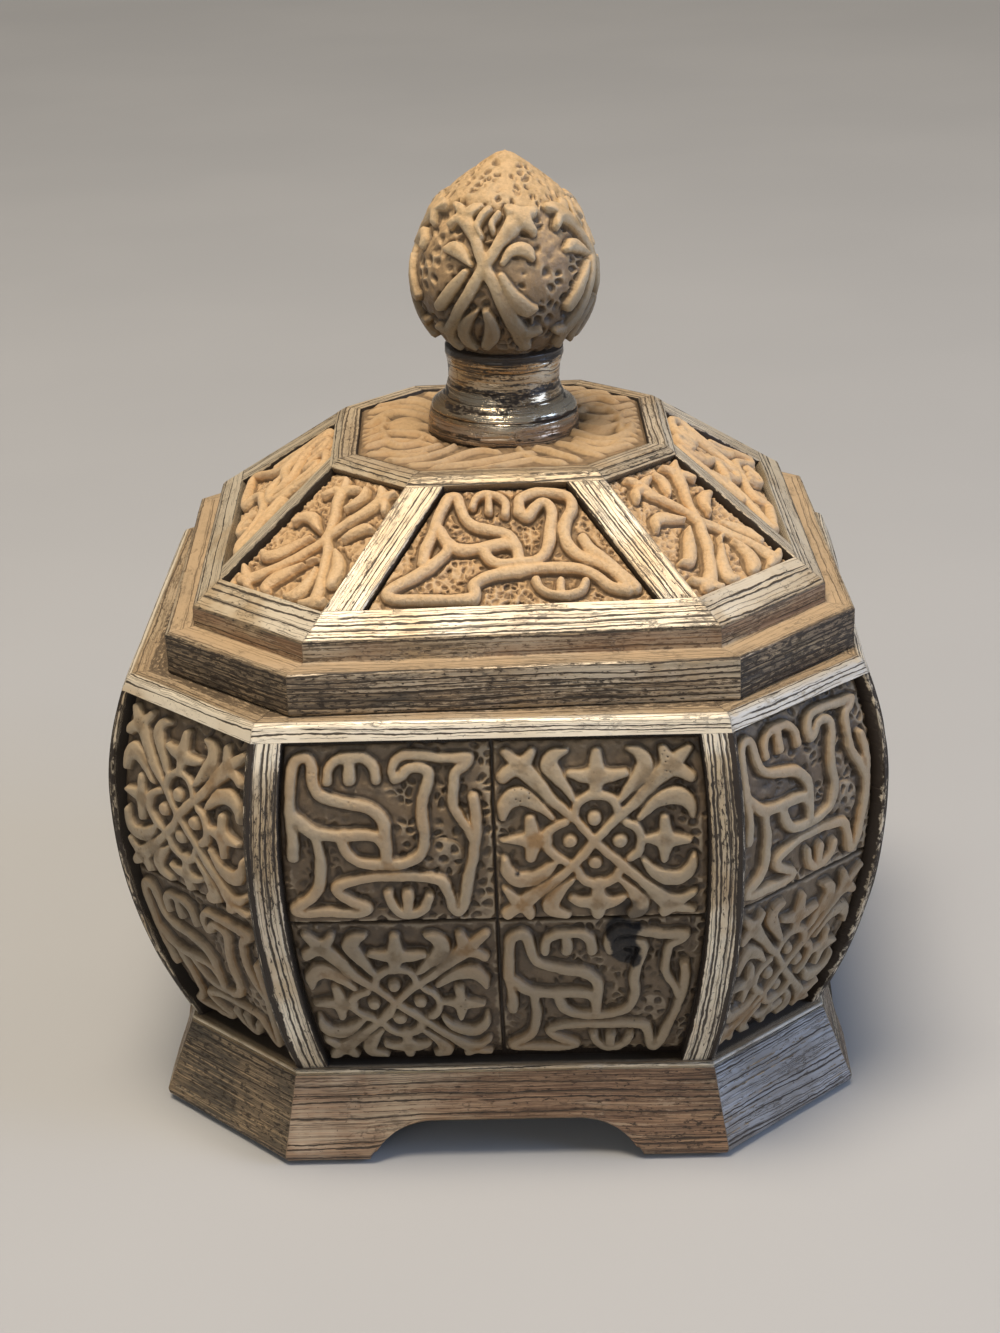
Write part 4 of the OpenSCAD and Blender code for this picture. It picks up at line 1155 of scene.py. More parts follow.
# ---------------------------------------------------------------- relief on the lid's slopes
LID_BEAST = [
    [(-.76, .38, 1.1), (-.786, .472, 1.12), (-.795, .586, 1.12), (-.823, .713, 1.12), (-.85, .841, 1.12), (-.83, .917, 1.12), (-.717, .914, 1.12), (-.585, .811, 1.12), (-.484, .727, 1.12), (-.349, .665, 1.12), (-.158, .625, 1.12), (.005, .578, 1.12), (.081, .489, 1.12), (.091, .361, 1.12)],
    [(-.742, .642, 1.16), (-.591, .522, 1.16), (-.438, .476, 1.16), (-.227, .487, 1.16), (-.039, .509, 1.16), (.068, .489, 1.16)],
    [(-.224, .46, 1.12), (-.17, .389, 1.12), (-.078, .344, 1.12), (.102, .346, 1.12), (.25, .366, 1.12), (.364, .456, 1.12), (.445, .583, 1.12), (.53, .711, 1.12), (.574, .818, 1.12), (.483, .849, 1.12), (.357, .799, 1.12), (.252, .735, 1.12), (.172, .78, 1.12)],
    [(.173, .785, 1.12), (.198, .875, 1.12), (.355, .925, 1.1), (.578, .935, 1.1), (.789, .92, 1.1), (.896, .87, 1.12), (.827, .787, 1.12), (.681, .695, 1.12), (.581, .566, 1.12), (.588, .46, 1.12), (.657, .375, 1.12), (.764, .312, 1.12), (.844, .238, 1.12), (.864, .132, 1.12)],
    [(.749, .537, 1.0), (.765, .43, 1.12), (.821, .345, 1.12), (.866, .272, 1.12), (.906, .165, 1.12), (.915, .105, 1.12)],
    [(.857, .095, 1.08), (.755, .12, 1.08), (.68, .221, 1.08), (.564, .284, 1.08), (.41, .302, 1.08), (.235, .3, 1.08), (.048, .277, 1.08), (-.111, .26, 1.08), (-.22, .223, 1.08), (-.268, .173, 1.08), (-.251, .1, 1.08), (-.28, .07, 1.08), (-.439, .068, 1.08), (-.663, .078, 1.08), (-.838, .09, 1.08), (-.905, .128, 1.08), (-.89, .176, 1.08), (-.786, .257, 1.08), (-.669, .354, 1.08), (-.588, .442, 1.08), (-.577, .522, 1.08)],
    [(-.445, .833, .9), (-.422, .904, .9), (-.285, .937, .9), (-.11, .912, .9), (-.01, .85, .9), (-.005, .761, .9)],
    [(-.252, .915, .83), (-.225, .795, .83)],
    [(.204, .199, .83), (.222, .135, .83), (.293, .086, .83), (.398, .072, .83), (.509, .1, .83), (.582, .174, .83)],
    [(.396, .182, .83), (.372, .1, .83)],
]
LID_CROSS = [
    # four arms from a crossing above the middle
    [(.12, .522, 1.05), (.065, .6, 1.02), (-.061, .679, 1.05), (-.193, .746, 1.15), (-.28, .796, 1.3), (-.33, .86, 1.45)],
    [(-.36, .85, 1.15), (-.52, .85, 1.05), (-.64, .80, .8)],
    [(-.34, .87, 1.1), (-.42, .92, 1.0), (-.50, .945, .75)],
    [(-.30, .87, 1.15), (-.16, .89, 1.05), (-.02, .90, .8)],
    [(.13, .517, 1.05), (.227, .603, 1.05), (.36, .69, 1.1), (.50, .762, 1.2), (.60, .825, 1.35), (.68, .875, 1.4)],
    [(.68, .87, 1.15), (.78, .92, 1.0), (.84, .94, .75)],
    [(.66, .85, 1.1), (.80, .84, 1.0), (.88, .80, .75)],
    [(.64, .87, 1.1), (.56, .92, 1.0), (.48, .94, .75)],
    [(.155, .506, 1.1), (.002, .42, 1.12), (-.128, .327, 1.15), (-.296, .24, 1.2), (-.476, .162, 1.3), (-.623, .105, 1.4), (-.74, .085, 1.1)],
    [(-.66, .11, 1.05), (-.79, .14, .95), (-.87, .17, .7)],
    [(-.60, .10, 1.05), (-.56, .06, .95), (-.50, .05, .7)],
    [(.155, .506, 1.05), (.327, .438, 1.1), (.463, .353, 1.1), (.595, .26, 1.15), (.70, .167, 1.35), (.757, .1, 1.5)],
    [(.75, .10, 1.15), (.64, .068, .95), (.55, .055, .7)],
    [(.77, .10, 1.15), (.86, .10, 1.0), (.92, .12, .7)],
    # fat comma leaves between them
    [(-.115, .555, .6), (-.30, .590, 1.05), (-.49, .625, 1.35), (-.66, .61, 1.1), (-.74, .56, .7)],
    [(-.175, .490, .6), (-.324, .422, 1.1), (-.48, .346, 1.4), (-.66, .29, 1.25), (-.79, .30, .8)],
    [(.105, .300, .55), (-.060, .226, 1.15), (-.200, .147, 1.45), (-.235, .09, 1.25), (-.15, .062, .8)],
    [(.385, .300, .55), (.430, .227, 1.2), (.400, .138, 1.5), (.300, .085, 1.25), (.22, .068, .75)],
    [(.50, .449, .6), (.66, .391, 1.25), (.78, .319, 1.45), (.84, .24, 1.1)],
    [(.48, .539, .6), (.58, .60, 1.15), (.71, .650, 1.3), (.86, .66, .85)],
    [(.055, .745, .55), (.15, .800, 1.05), (.20, .86, 1.1), (.15, .91, .7)],
    [(.15, .323, .45), (.225, .359, .65), (.322, .364, .45)],
]


def strands(x, y, seed, z=0.0):
    """Ground of fine raised threads, from 0 to 1."""
    a = x + 0.9 * noise(x / 2.4, y / 2.4, z / 2.4 + 1.7, seed) + 0.3 * noise(x / 0.9, y / 0.9, z / 0.9, seed + 4)
    b = y + 0.9 * noise(x / 2.4, y / 2.4, z / 2.4 + 5.1, seed + 1) + 0.3 * noise(x / 0.9, y / 0.9, z / 0.9 + 3.3, seed + 5)
    t = np.abs(noise(a / 0.75, b / 1.5, z / 0.75 + 0.5, seed + 2))
    s = np.abs(noise(a / 1.5, b / 0.62, z / 0.9 + 2.5, seed + 3))
    return np.maximum(smooth(1 - t / 0.42), 0.85 * smooth(1 - s / 0.40))


def slope_panel(k, corner, seed, triangles):
    d0, d1, h0, h1 = (49.2, 28.1, 10.7, 7.65) if corner else (42.0, 25.8, 20.7, 8.82)
    step, top = (53.2, 26.6) if corner else (46.0, 24.3)
    length = (d0 - d1) / math.cos(math.atan2(16.8, step - top))
    un, ud = (step - top) / math.hypot(step - top, 16.8), 16.8 / math.hypot(step - top, 16.8)
    nx, ny = (150, 196) if corner else (270, 150)
    u, v = np.meshgrid(np.linspace(-1, 1, nx), np.linspace(0, 1, ny))
    w = h0 + (h1 - h0) * v
    X, Y = u * w, v * length
    strokes = LID_CROSS if corner else LID_BEAST
    lines = []
    for s in strokes:
        lines.append(curve([(a * (h0 + (h1 - h0) * b), b * length, q - (0.12 if corner else 0.10)) for a, b, q in s]))
    P = np.stack([X.ravel(), Y.ravel()], -1)
    P2 = P + np.stack([0.12 * noise(P[:, 0] / 2.2, P[:, 1] / 2.2, seed * 1.1, 71), 0.12 * noise(P[:, 0] / 2.2, P[:, 1] / 2.2, seed * 1.1 + 5, 72)], -1)
    dist, width = field(P2, lines)
    d, wd = dist.reshape(ny, nx), width.reshape(ny, nx)
    d = d + 0.08 * noise(X / 2.6, Y / 2.6, seed, 76)
    th = strands(X, Y, 80 + seed * 7)
    pit = pitted(X, Y, 90 + seed * 5, 1.15)
    ground = 0.28 + 0.14 * fbm(X / 3.0, Y / 3.0, seed, 74) + (0.42 * th - 0.34 * pit) * smooth((d - 0.05) / 0.45)
    ground = ground - 0.14 * smooth(1 - (d - 0.12) / 0.5)
    crust = 0.055 * fbm(X / 0.5, Y / 0.5, seed, 75)
    h = raised(ground, d, wd, 0.20, 1.30 + 0.14 * noise(X / 5, Y / 5, seed, 73), flat=0.34, wall=0.40, crown=0.26, off=0.10) + crust
    edge = np.minimum((1 - np.abs(u)) * w, np.minimum(Y, length - Y))
    h = h * (0.2 + 0.8 * smooth(edge / 0.5)) - 0.15 * (1 - smooth(edge / 0.4))
    cell = 2 * w.mean() / nx
    cav = (blur(h, 0.8 / cell) - h) * 0.9 + 0.5 * (blur(h, 0.28 / cell) - h)
    cav = cav + 0.35 * smooth(1 - edge / 0.7)
    hgt = np.clip(0.20 + (0.46 * th - 0.25 * pit) * smooth((d - 0.05) / 0.4) + smooth((0.12 - d) / 0.40) * 0.85, 0, 1)
    up = np.stack([X, Y, h], -1).reshape(-1, 3)
    ring = np.concatenate([np.arange(nx), np.arange(1, ny) * nx + nx - 1, (ny - 1) * nx + np.arange(nx - 2, -1, -1), np.arange(ny - 2, 0, -1) * nx])
    down = up[ring].copy()
    down[:, 2] = -0.75
    base = len(up)
    skirt = np.stack([ring, np.arange(len(ring)) + base, np.roll(np.arange(len(ring)), -1) + base, np.roll(ring, -1)], -1)
    co = np.vstack([up, down, [[0, length / 2, -0.75]]])
    grid = np.arange(nx * ny).reshape(ny, nx)
    q = np.stack([grid[:-1, :-1], grid[:-1, 1:], grid[1:, 1:], grid[1:, :-1]], -1).reshape(-1, 4)
    faces = [q, skirt, fan(np.arange(len(ring)) + base, len(co) - 1, True)]
    def full(a, val):
        return np.concatenate([a.ravel(), np.full(len(ring) + 1, val)])
    me = thin(raw_mesh("slope", co, faces, dict(hgt=full(hgt, 0.05), cav=full(cav, 0.35), stain_and_shade=full(h * 0, 0.0))), triangles)
    p = points(me)
    x, y, hh = p[:, 0], p[:, 1], p[:, 2]
    x = x * (1 - 0.10 / h0)
    D = d0 - 0.12 - (y * (1 - 0.24 / length)) * un
    z = 80.6 + (step - D) * 16.8 / (step - top)
    D = D + (hh - 1.6) * ud
    z = z + (hh - 1.6) * un
    ang = math.radians(45 * k)
    xy = np.stack([math.sin(ang) * D + math.cos(ang) * x, -math.cos(ang) * D + math.sin(ang) * x], -1)
    piece(f"lid_relief_{k}", me, lid_place(np.column_stack([xy, z])), M_LID, "lid", nodes=("lid",))


for k in range(8):
    slope_panel(k, k % 2 == 1, k, {0: 25000, 1: 15000, 7: 15000}.get(k, 12500 if k % 2 else 19000))

# ---------------------------------------------------------------- relief on the lid's top: leafy strands that run out from under the knob
def octagon(theta, dw, dc):
    """Distance from the axis to an eight-sided outline, in the direction theta."""
    best = np.full(theta.shape, 1e9)
    for k in range(8):
        a = math.radians(45 * k)
        c = np.cos(theta - a)
        best = np.minimum(best, np.where(c > 0.2, (dc if k % 2 else dw) / np.maximum(c, 0.2), 1e9))
    return best


# strands on the visible half of the lid's top, in millimetres from the axis
TOP = [
    # a shell of arcs at the left
    [(-17.9, 11.4, 1.0), (-16.5, 14.0, 1.1), (-14.8, 15.0, 1.1), (-12.7, 14.1, 1.1), (-10.8, 10.8, 1.0)],
    [(-19.9, 2.5, 1.0), (-18.4, 7.0, 1.2), (-16.4, 9.4, 1.3), (-14.3, 9.1, 1.3), (-12.2, 6.9, 1.2), (-10.4, 4.5, 1.0)],
    [(-19.7, -4.6, .9), (-17.6, -2.4, 1.0), (-15.4, -1.7, 1.1), (-12.5, -3.4, 1.0), (-10.2, -6.2, .9)],
    [(-19.9, -0.6, .5), (-17.4, 2.2, .8), (-15.2, 3.6, .9), (-13.0, 2.4, .8), (-10.6, 0.2, .6)],
    [(-20.2, -8.6, .8), (-18.1, -7.0, .95), (-15.8, -6.4, .95), (-13.2, -7.6, .8), (-10.9, -9.4, .6)],
    [(-20.0, -12.2, .7), (-17.4, -12.6, .9), (-14.4, -12.6, .9), (-11.9, -11.4, .8), (-9.5, -9.4, .6)],
    # leaves that flow to the right at the front
    [(-17.2, -15.6, .6), (-14.2, -16.4, .85), (-11.6, -15.4, .9), (-9.2, -12.9, .8), (-7.1, -10.1, .6)],
    [(-13.6, -18.8, .6), (-10.4, -18.8, .85), (-7.5, -16.6, .95), (-5.3, -14.2, .9), (-3.2, -13.2, .8), (-0.8, -13.9, .5)],
    [(-10.2, -20.6, .5), (-6.6, -19.6, .8), (-3.6, -18.9, .95), (-0.7, -17.4, .95), (2.3, -15.6, .9), (4.5, -14.9, .6)],
    [(-5.2, -21.4, .5), (-1.6, -21.0, .7), (1.4, -19.6, .8), (4.4, -18.3, .7)],
    [(2.4, -12.4, .5), (3.6, -16.2, .7), (5.9, -19.0, .9), (8.8, -20.4, .7)],
    [(5.0, -12.7, .8), (7.1, -14.2, 1.0), (9.0, -16.9, 1.0), (11.0, -19.2, .7)],
    [(8.3, -10.7, .7), (10.4, -12.6, .9), (12.2, -15.6, .9), (14.2, -17.4, .6)],
    # under and round the bud at the right, and the fan beyond it
    [(11.2, -8.8, .8), (13.2, -11.1, 1.0), (15.6, -11.8, 1.05), (17.6, -10.8, 1.0), (19.8, -10.2, .8)],
    [(13.6, -15.2, .5), (16.2, -14.4, .7), (19.0, -13.0, .7)],
    [(11.8, 5.2, .8), (13.4, 8.3, .95), (15.6, 8.6, .95), (17.4, 5.2, .9), (18.1, -0.1, .8), (17.8, -5.4, .7)],
    [(11.7, 13.2, .9), (13.6, 14.6, 1.1), (16.0, 13.2, 1.1), (18.1, 10.6, .8)],
    [(18.6, 6.6, .32), (20.2, 8.6, .32)],
    [(18.8, 4.8, .32), (20.8, 6.6, .32)],
    [(18.9, 3.0, .32), (20.9, 4.4, .32)],
    [(19.0, 1.1, .32), (21.0, 2.2, .32)],
    [(19.0, -0.8, .32), (21.0, -0.1, .32)],
    [(18.9, -2.7, .32), (20.9, -2.6, .32)],
    [(18.8, -4.6, .32), (20.8, -5.2, .32)],
    [(18.5, -6.6, .35), (20.2, -7.8, .35)],
]


def top_relief():
    nr, nt = 120, 620
    th = np.linspace(0, 2 * math.pi, nt, endpoint=False)
    q = np.linspace(0, 1, nr)
    TH_, Q = np.meshgrid(th, q)
    edge = octagon(TH_, 21.62, 23.72)
    rad = 8.5 + (edge - 8.5) * Q
    X, Y = rad * np.sin(TH_), -rad * np.cos(TH_)
    lines = []
    # the visible half, and the same turned half round for the back
    for half in (1, -1):
        for s in TOP:
            lines.append(curve([(half * a, half * b, w) for a, b, w in s]))
    P = np.stack([X.ravel(), Y.ravel()], -1)
    P2 = P + np.stack([0.30 * noise(P[:, 0] / 3, P[:, 1] / 3, 1.1, 81), 0.30 * noise(P[:, 0] / 3, P[:, 1] / 3, 6.1, 82)], -1)
    dist, width = field(P2, lines, melt=0.4)
    d, wd = dist.reshape(nr, nt), width.reshape(nr, nt)
    # a round bud beside the knob
    bud = np.minimum(np.hypot((X - 14.6) / 3.0, (Y + 2.4) / 5.0), np.hypot((X + 14.6) / 3.0, (Y - 2.4) / 5.0))
    threads = strands(X, Y, 85)
    low = smooth(d / 0.5) * smooth((bud - 1) / 0.2)
    h = raised(0.28 + 0.24 * threads * low + 0.08 * fbm(X / 2.5, Y / 2.5, 0.3, 87), d, wd, 0.05, 0.85, flat=0.10, wall=1.0, crown=0.30, off=0.42)
    h = np.maximum(h, 1.10 * np.sqrt(np.clip(1 - bud ** 2, 0, 1))) + 0.06 * fbm(X / 0.6, Y / 0.6, 0.0, 86)
    h = blur(np.hstack([h[:, -40:], h, h[:, :40]]), 1.6)[:, 40:-40]
    fall = smooth((edge - rad) / 0.6)
    h = h * (0.25 + 0.75 * fall)
    shade = 0.36 + 0.26 * smooth((0.75 - h) / 0.5)
    cav = np.hstack([h[:, -40:], h, h[:, :40]])
    cav = ((blur(cav, 4.5) - cav) * 0.9 + 0.5 * (blur(cav, 1.8) - cav))[:, 40:-40]
    hgt = np.clip(0.30 + 0.35 * threads * low + smooth((0.3 - np.minimum(d, (bud - 1) * 2)) / 0.5) * 0.7, 0, 1)
    up = np.stack([X, Y, 96.72 + h], -1).reshape(-1, 3)
    lo_out = up[(nr - 1) * nt:].copy(); lo_out[:, 2] = 96.2
    lo_in = up[:nt].copy(); lo_in[:, 2] = 96.2
    co = np.vstack([up, lo_out, lo_in])
    b0, b1 = nr * nt, nr * nt + nt
    i = np.arange(nt); j = np.roll(i, -1)
    grid = np.arange(nr * nt).reshape(nr, nt)
    g2 = np.hstack([grid, grid[:, :1]])
    faces = [np.stack([g2[:-1, :-1], g2[1:, :-1], g2[1:, 1:], g2[:-1, 1:]], -1).reshape(-1, 4),
             np.stack([(nr - 1) * nt + i, b0 + i, b0 + j, (nr - 1) * nt + j], -1),
             np.stack([b0 + i, b1 + i, b1 + j, b0 + j], -1),
             np.stack([b1 + i, i, j, b1 + j], -1)]
    def full(a, val):
        return np.concatenate([a.ravel(), np.full(2 * nt, val)])
    me = thin(raw_mesh("top", co, faces, dict(hgt=full(hgt, 0.1), cav=full(cav, 0.35), stain_and_shade=full(shade, 0.0))), 34000)
    piece("lid_relief_top", me, lid_place(points(me)), M_LID, "lid", nodes=("lid",))


top_relief()

# ---------------------------------------------------------------- knob
# one of the crossed motifs round the egg: degrees from its centre line, degrees of latitude, half width
KNOB = [
    # arms, each with lobes at its end
    [(0, 17.5, 1.15), (-4.4, 25.3, 1.12), (-9.2, 33.3, 1.12), (-15.5, 40.0, 1.25), (-20.5, 44.0, 1.45)],
    [(-21, 44, 1.15), (-28, 43.0, 1.0), (-33, 39, .8)],
    [(-22, 45.5, 1.1), (-29, 49.0, 1.0), (-35, 50.5, .75)],
    [(-19, 46, 1.15), (-14.5, 50.0, 1.05), (-11, 52.5, .75)],
    [(0, 17.5, 1.12), (5.6, 25.7, 1.12), (10.4, 32.3, 1.2), (15.9, 38.0, 1.35), (21.1, 43.4, 1.6), (24.3, 46.0, 1.7)],
    [(21.9, 46.2, 1.2), (18.7, 50.4, 1.1), (16.0, 52.5, .8)],
    [(26.6, 46.1, 1.25), (32.8, 48.1, 1.1), (38.0, 48.6, .8)],
    [(25.2, 43.9, 1.25), (30.4, 41.6, 1.1), (34.4, 37.8, .8)],
    [(0, 16.5, 1.12), (-4.8, 8.3, 1.12), (-10.4, -1.2, 1.12), (-15.9, -10.3, 1.15), (-22.2, -20.4, 1.25), (-29.0, -29.0, 1.4)],
    [(-29.5, -28.5, 1.1), (-35.0, -27.5, 1.0), (-39.5, -27.0, .7)],
    [(-30, -31, 1.2), (-29.5, -38.0, 1.15), (-26, -41.5, .8)],
    [(1.5, 14.4, 1.1), (6.4, 5.3, 1.15), (10.9, -4.6, 1.25), (15.5, -13.8, 1.35), (20.6, -22.4, 1.5), (25.5, -30.3, 1.6)],
    [(25.1, -27.8, 1.2), (31.7, -26.4, 1.0), (37.4, -25.0, .65)],
    [(25.7, -31.6, 1.3), (29.0, -37.4, 1.15)],
    # comma leaves in the four gaps
    [(11.4, 19.4, .6), (16.0, 25.6, 1.0), (22.7, 28.0, 1.25), (29.0, 26.2, 1.15), (31.8, 21.5, .6)],
    [(10.7, 11.3, .7), (15.4, 2.4, 1.15), (20.4, -4.7, 1.55), (26.6, -9.7, 1.4), (32.7, -9.4, .6)],
    [(-8.6, 17.0, .5), (-15.5, 22.6, 1.15), (-23.5, 26.1, 1.25), (-30.5, 24.4, .7)],
    [(-12.4, 12.3, .8), (-19.1, 4.1, 1.1), (-26.0, -4.2, 1.3), (-32.2, -10.9, 1.2)],
    [(-4.4, -11.0, .5), (-10.5, -17.7, 1.0), (-15.8, -26.2, 1.25), (-16.0, -34.6, 1.25), (-10.4, -39.5, .8)],
    [(1.2, -11.7, .8), (4.3, -19.7, 1.3), (3.9, -28.9, 1.5), (-0.5, -36.8, 1.1)],
    [(-1.5, 50.5, .7), (-6.5, 45.0, .8), (-8.0, 39.5, .75), (-4.0, 34.5, .6)],
    [(7.5, 48.0, .65), (3.0, 42.5, .75), (4.5, 37.5, .6)],
]
EGG_Z = 24.1


def egg_radius(lat):
    """Outer radius of the egg about its centre, by the latitude in degrees."""
    return np.interp(lat, [-90, 25, 33, 41, 48, 55, 65, 75, 82, 86, 90], [14.4, 14.3, 14.5, 14.75, 14.95, 15.15, 15.75, 16.55, 17.45, 18.1, 18.5])


def egg():
    nt = 540
    lats = np.concatenate([np.linspace(-56, 60, 205), np.linspace(60.6, 88.6, 48)])
    nl = len(lats)
    th = np.linspace(0, 2 * math.pi, nt, endpoint=False)
    T, L = np.meshgrid(th, np.radians(lats))
    unit = np.stack([np.cos(L) * np.sin(T), -np.cos(L) * np.cos(T), np.sin(L)], -1)
    P = unit.reshape(-1, 3) * 13.8
    lines = []
    for rep in range(4):
        for s in KNOB:
            pts = curve(s, 4)
            a = np.radians(pts[:, 0] - 14 + 90 * rep)
            b = np.radians(pts[:, 1])
            lines.append(np.column_stack([13.8 * np.cos(b) * np.sin(a), -13.8 * np.cos(b) * np.cos(a), 13.8 * np.sin(b), pts[:, 2] - 0.08]))
    P2 = P + 0.10 * np.stack([noise(P[:, 0] / 2, P[:, 1] / 2, P[:, 2] / 2, 101), noise(P[:, 0] / 2, P[:, 1] / 2, P[:, 2] / 2 + 7, 102), noise(P[:, 0] / 2 + 5, P[:, 1] / 2, P[:, 2] / 2, 103)], -1)
    dist, width = field(P2, lines)
    d, wd = dist.reshape(nl, nt), width.reshape(nl, nt)
    out = egg_radius(np.degrees(L))
    px, py, pz = (P.reshape(nl, nt, 3)[..., i] for i in range(3))
    lat = np.degrees(L)
    wx = px + 0.45 * noise(px / 1.6, py / 1.6, pz / 1.6, 108) + 0.07 * noise(px / 0.5, py / 0.5, pz / 0.5, 118)
    wy = py + 0.45 * noise(px / 1.6 + 9, py / 1.6, pz / 1.6, 109) + 0.07 * noise(px / 0.5 + 9, py / 0.5, pz / 0.5, 119)
    f1, f2 = cells(wx / 1.9, wy / 1.9, pz / 1.9, 104)
    deep_here = smooth(0.9 + 1.1 * noise(px / 3.2, py / 3.2, pz / 3.2, 107))
    pit = smooth((0.56 - f1) / 0.32) * smooth((f2 - f1 - 0.02) / 0.30) * (0.60 + 0.40 * deep_here)
    # on the pointed top the pits are small, and drawn out along the slope
    rise_along = out * 1.0
    g1, g2 = cells(wx / 1.15, wy / 1.15, rise_along / 1.9, 114)
    small = smooth((0.50 - g1) / 0.22) * smooth((g2 - g1) / 0.2) * smooth(1.05 + 1.2 * noise(px / 2.0, py / 2.0, rise_along / 2.0, 117))
    cone = smooth((lat + 5.0 * noise(px / 3.0, py / 3.0, pz / 3.0, 110) - 41) / 15)
    lump = fbm(px / 1.6, py / 1.6, pz / 1.6, 105)
    ground = out - 1.00 * (1 - cone) - 0.08 - 0.56 * pit * (1 - cone) - 0.46 * small * cone + (0.12 + 0.10 * (1 - cone)) * lump + 0.16 * cone * noise(px / 2.2, py / 2.2, rise_along / 2.2, 111)
    ground = ground - 0.14 * smooth(1 - (d - 0.12) / 0.5) * (1 - cone)
    # the lobes stand proud at the shoulder
    proud = smooth((lat - 33) / 8) * smooth((57 - lat) / 8)
    d = d + 0.08 * noise(px / 2.4, py / 2.4, pz / 2.4, 112)
    wiped = smooth((lat - 53) / 6)
    h = raised(ground, d + 2 * wiped, wd, out - 1.14 * (1 - 0.75 * cone) - 0.06, 1.04 + 0.28 * proud, flat=0.62, wall=0.42, crown=0.18, off=0.08)
    h = h + 0.05 * fbm(px / 0.5, py / 0.5, pz / 0.5, 106)
    h = np.minimum(h, out + 0.05 + 0.38 * proud)
    wide = np.hstack([h[:, -40:], h, h[:, :40]])
    cav = ((blur(wide, 4.2) - wide) * 0.9 + 0.5 * (blur(wide, 1.7) - wide))[:, 40:-40]
    hgt = np.clip(0.30 * (1 - cone) + 0.12 * lump - 0.28 * pit * (1 - cone) + cone * (0.84 - 0.75 * small) + smooth((0.10 - d) / 0.36) * 0.8 * (1 - 0.6 * cone), 0, 1)
    co = unit * h[..., None]
    co[..., 2] += EGG_Z
    co = np.vstack([co.reshape(-1, 3), [[0, 0, EGG_Z - 11.4]], [[0, 0, EGG_Z + 18.5]]])
    k = nl * nt
    grid = np.arange(k).reshape(nl, nt)
    g2_ = np.hstack([grid, grid[:, :1]])
    faces = [np.stack([g2_[:-1, :-1], g2_[:-1, 1:], g2_[1:, 1:], g2_[1:, :-1]], -1).reshape(-1, 4),
             fan(np.arange(nt), k, True), fan(np.arange((nl - 1) * nt, nl * nt), k + 1)]
    def full(a, v0, v1):
        return np.concatenate([a.ravel(), [v0, v1]])
    # painted shade: the egg darker towards its lower half, away from the light above
    me = thin(raw_mesh("egg", co, faces, dict(hgt=full(hgt, 0.1, 0.8), cav=full(cav, 0.3, 0.0), stain_and_shade=full(0.56 * smooth((24 - lat) / 46), 0, 0))), 66000)
    piece("knob_egg", me, knob_place(points(me)), M_KNOB, "lid", nodes=("knob",))


egg()


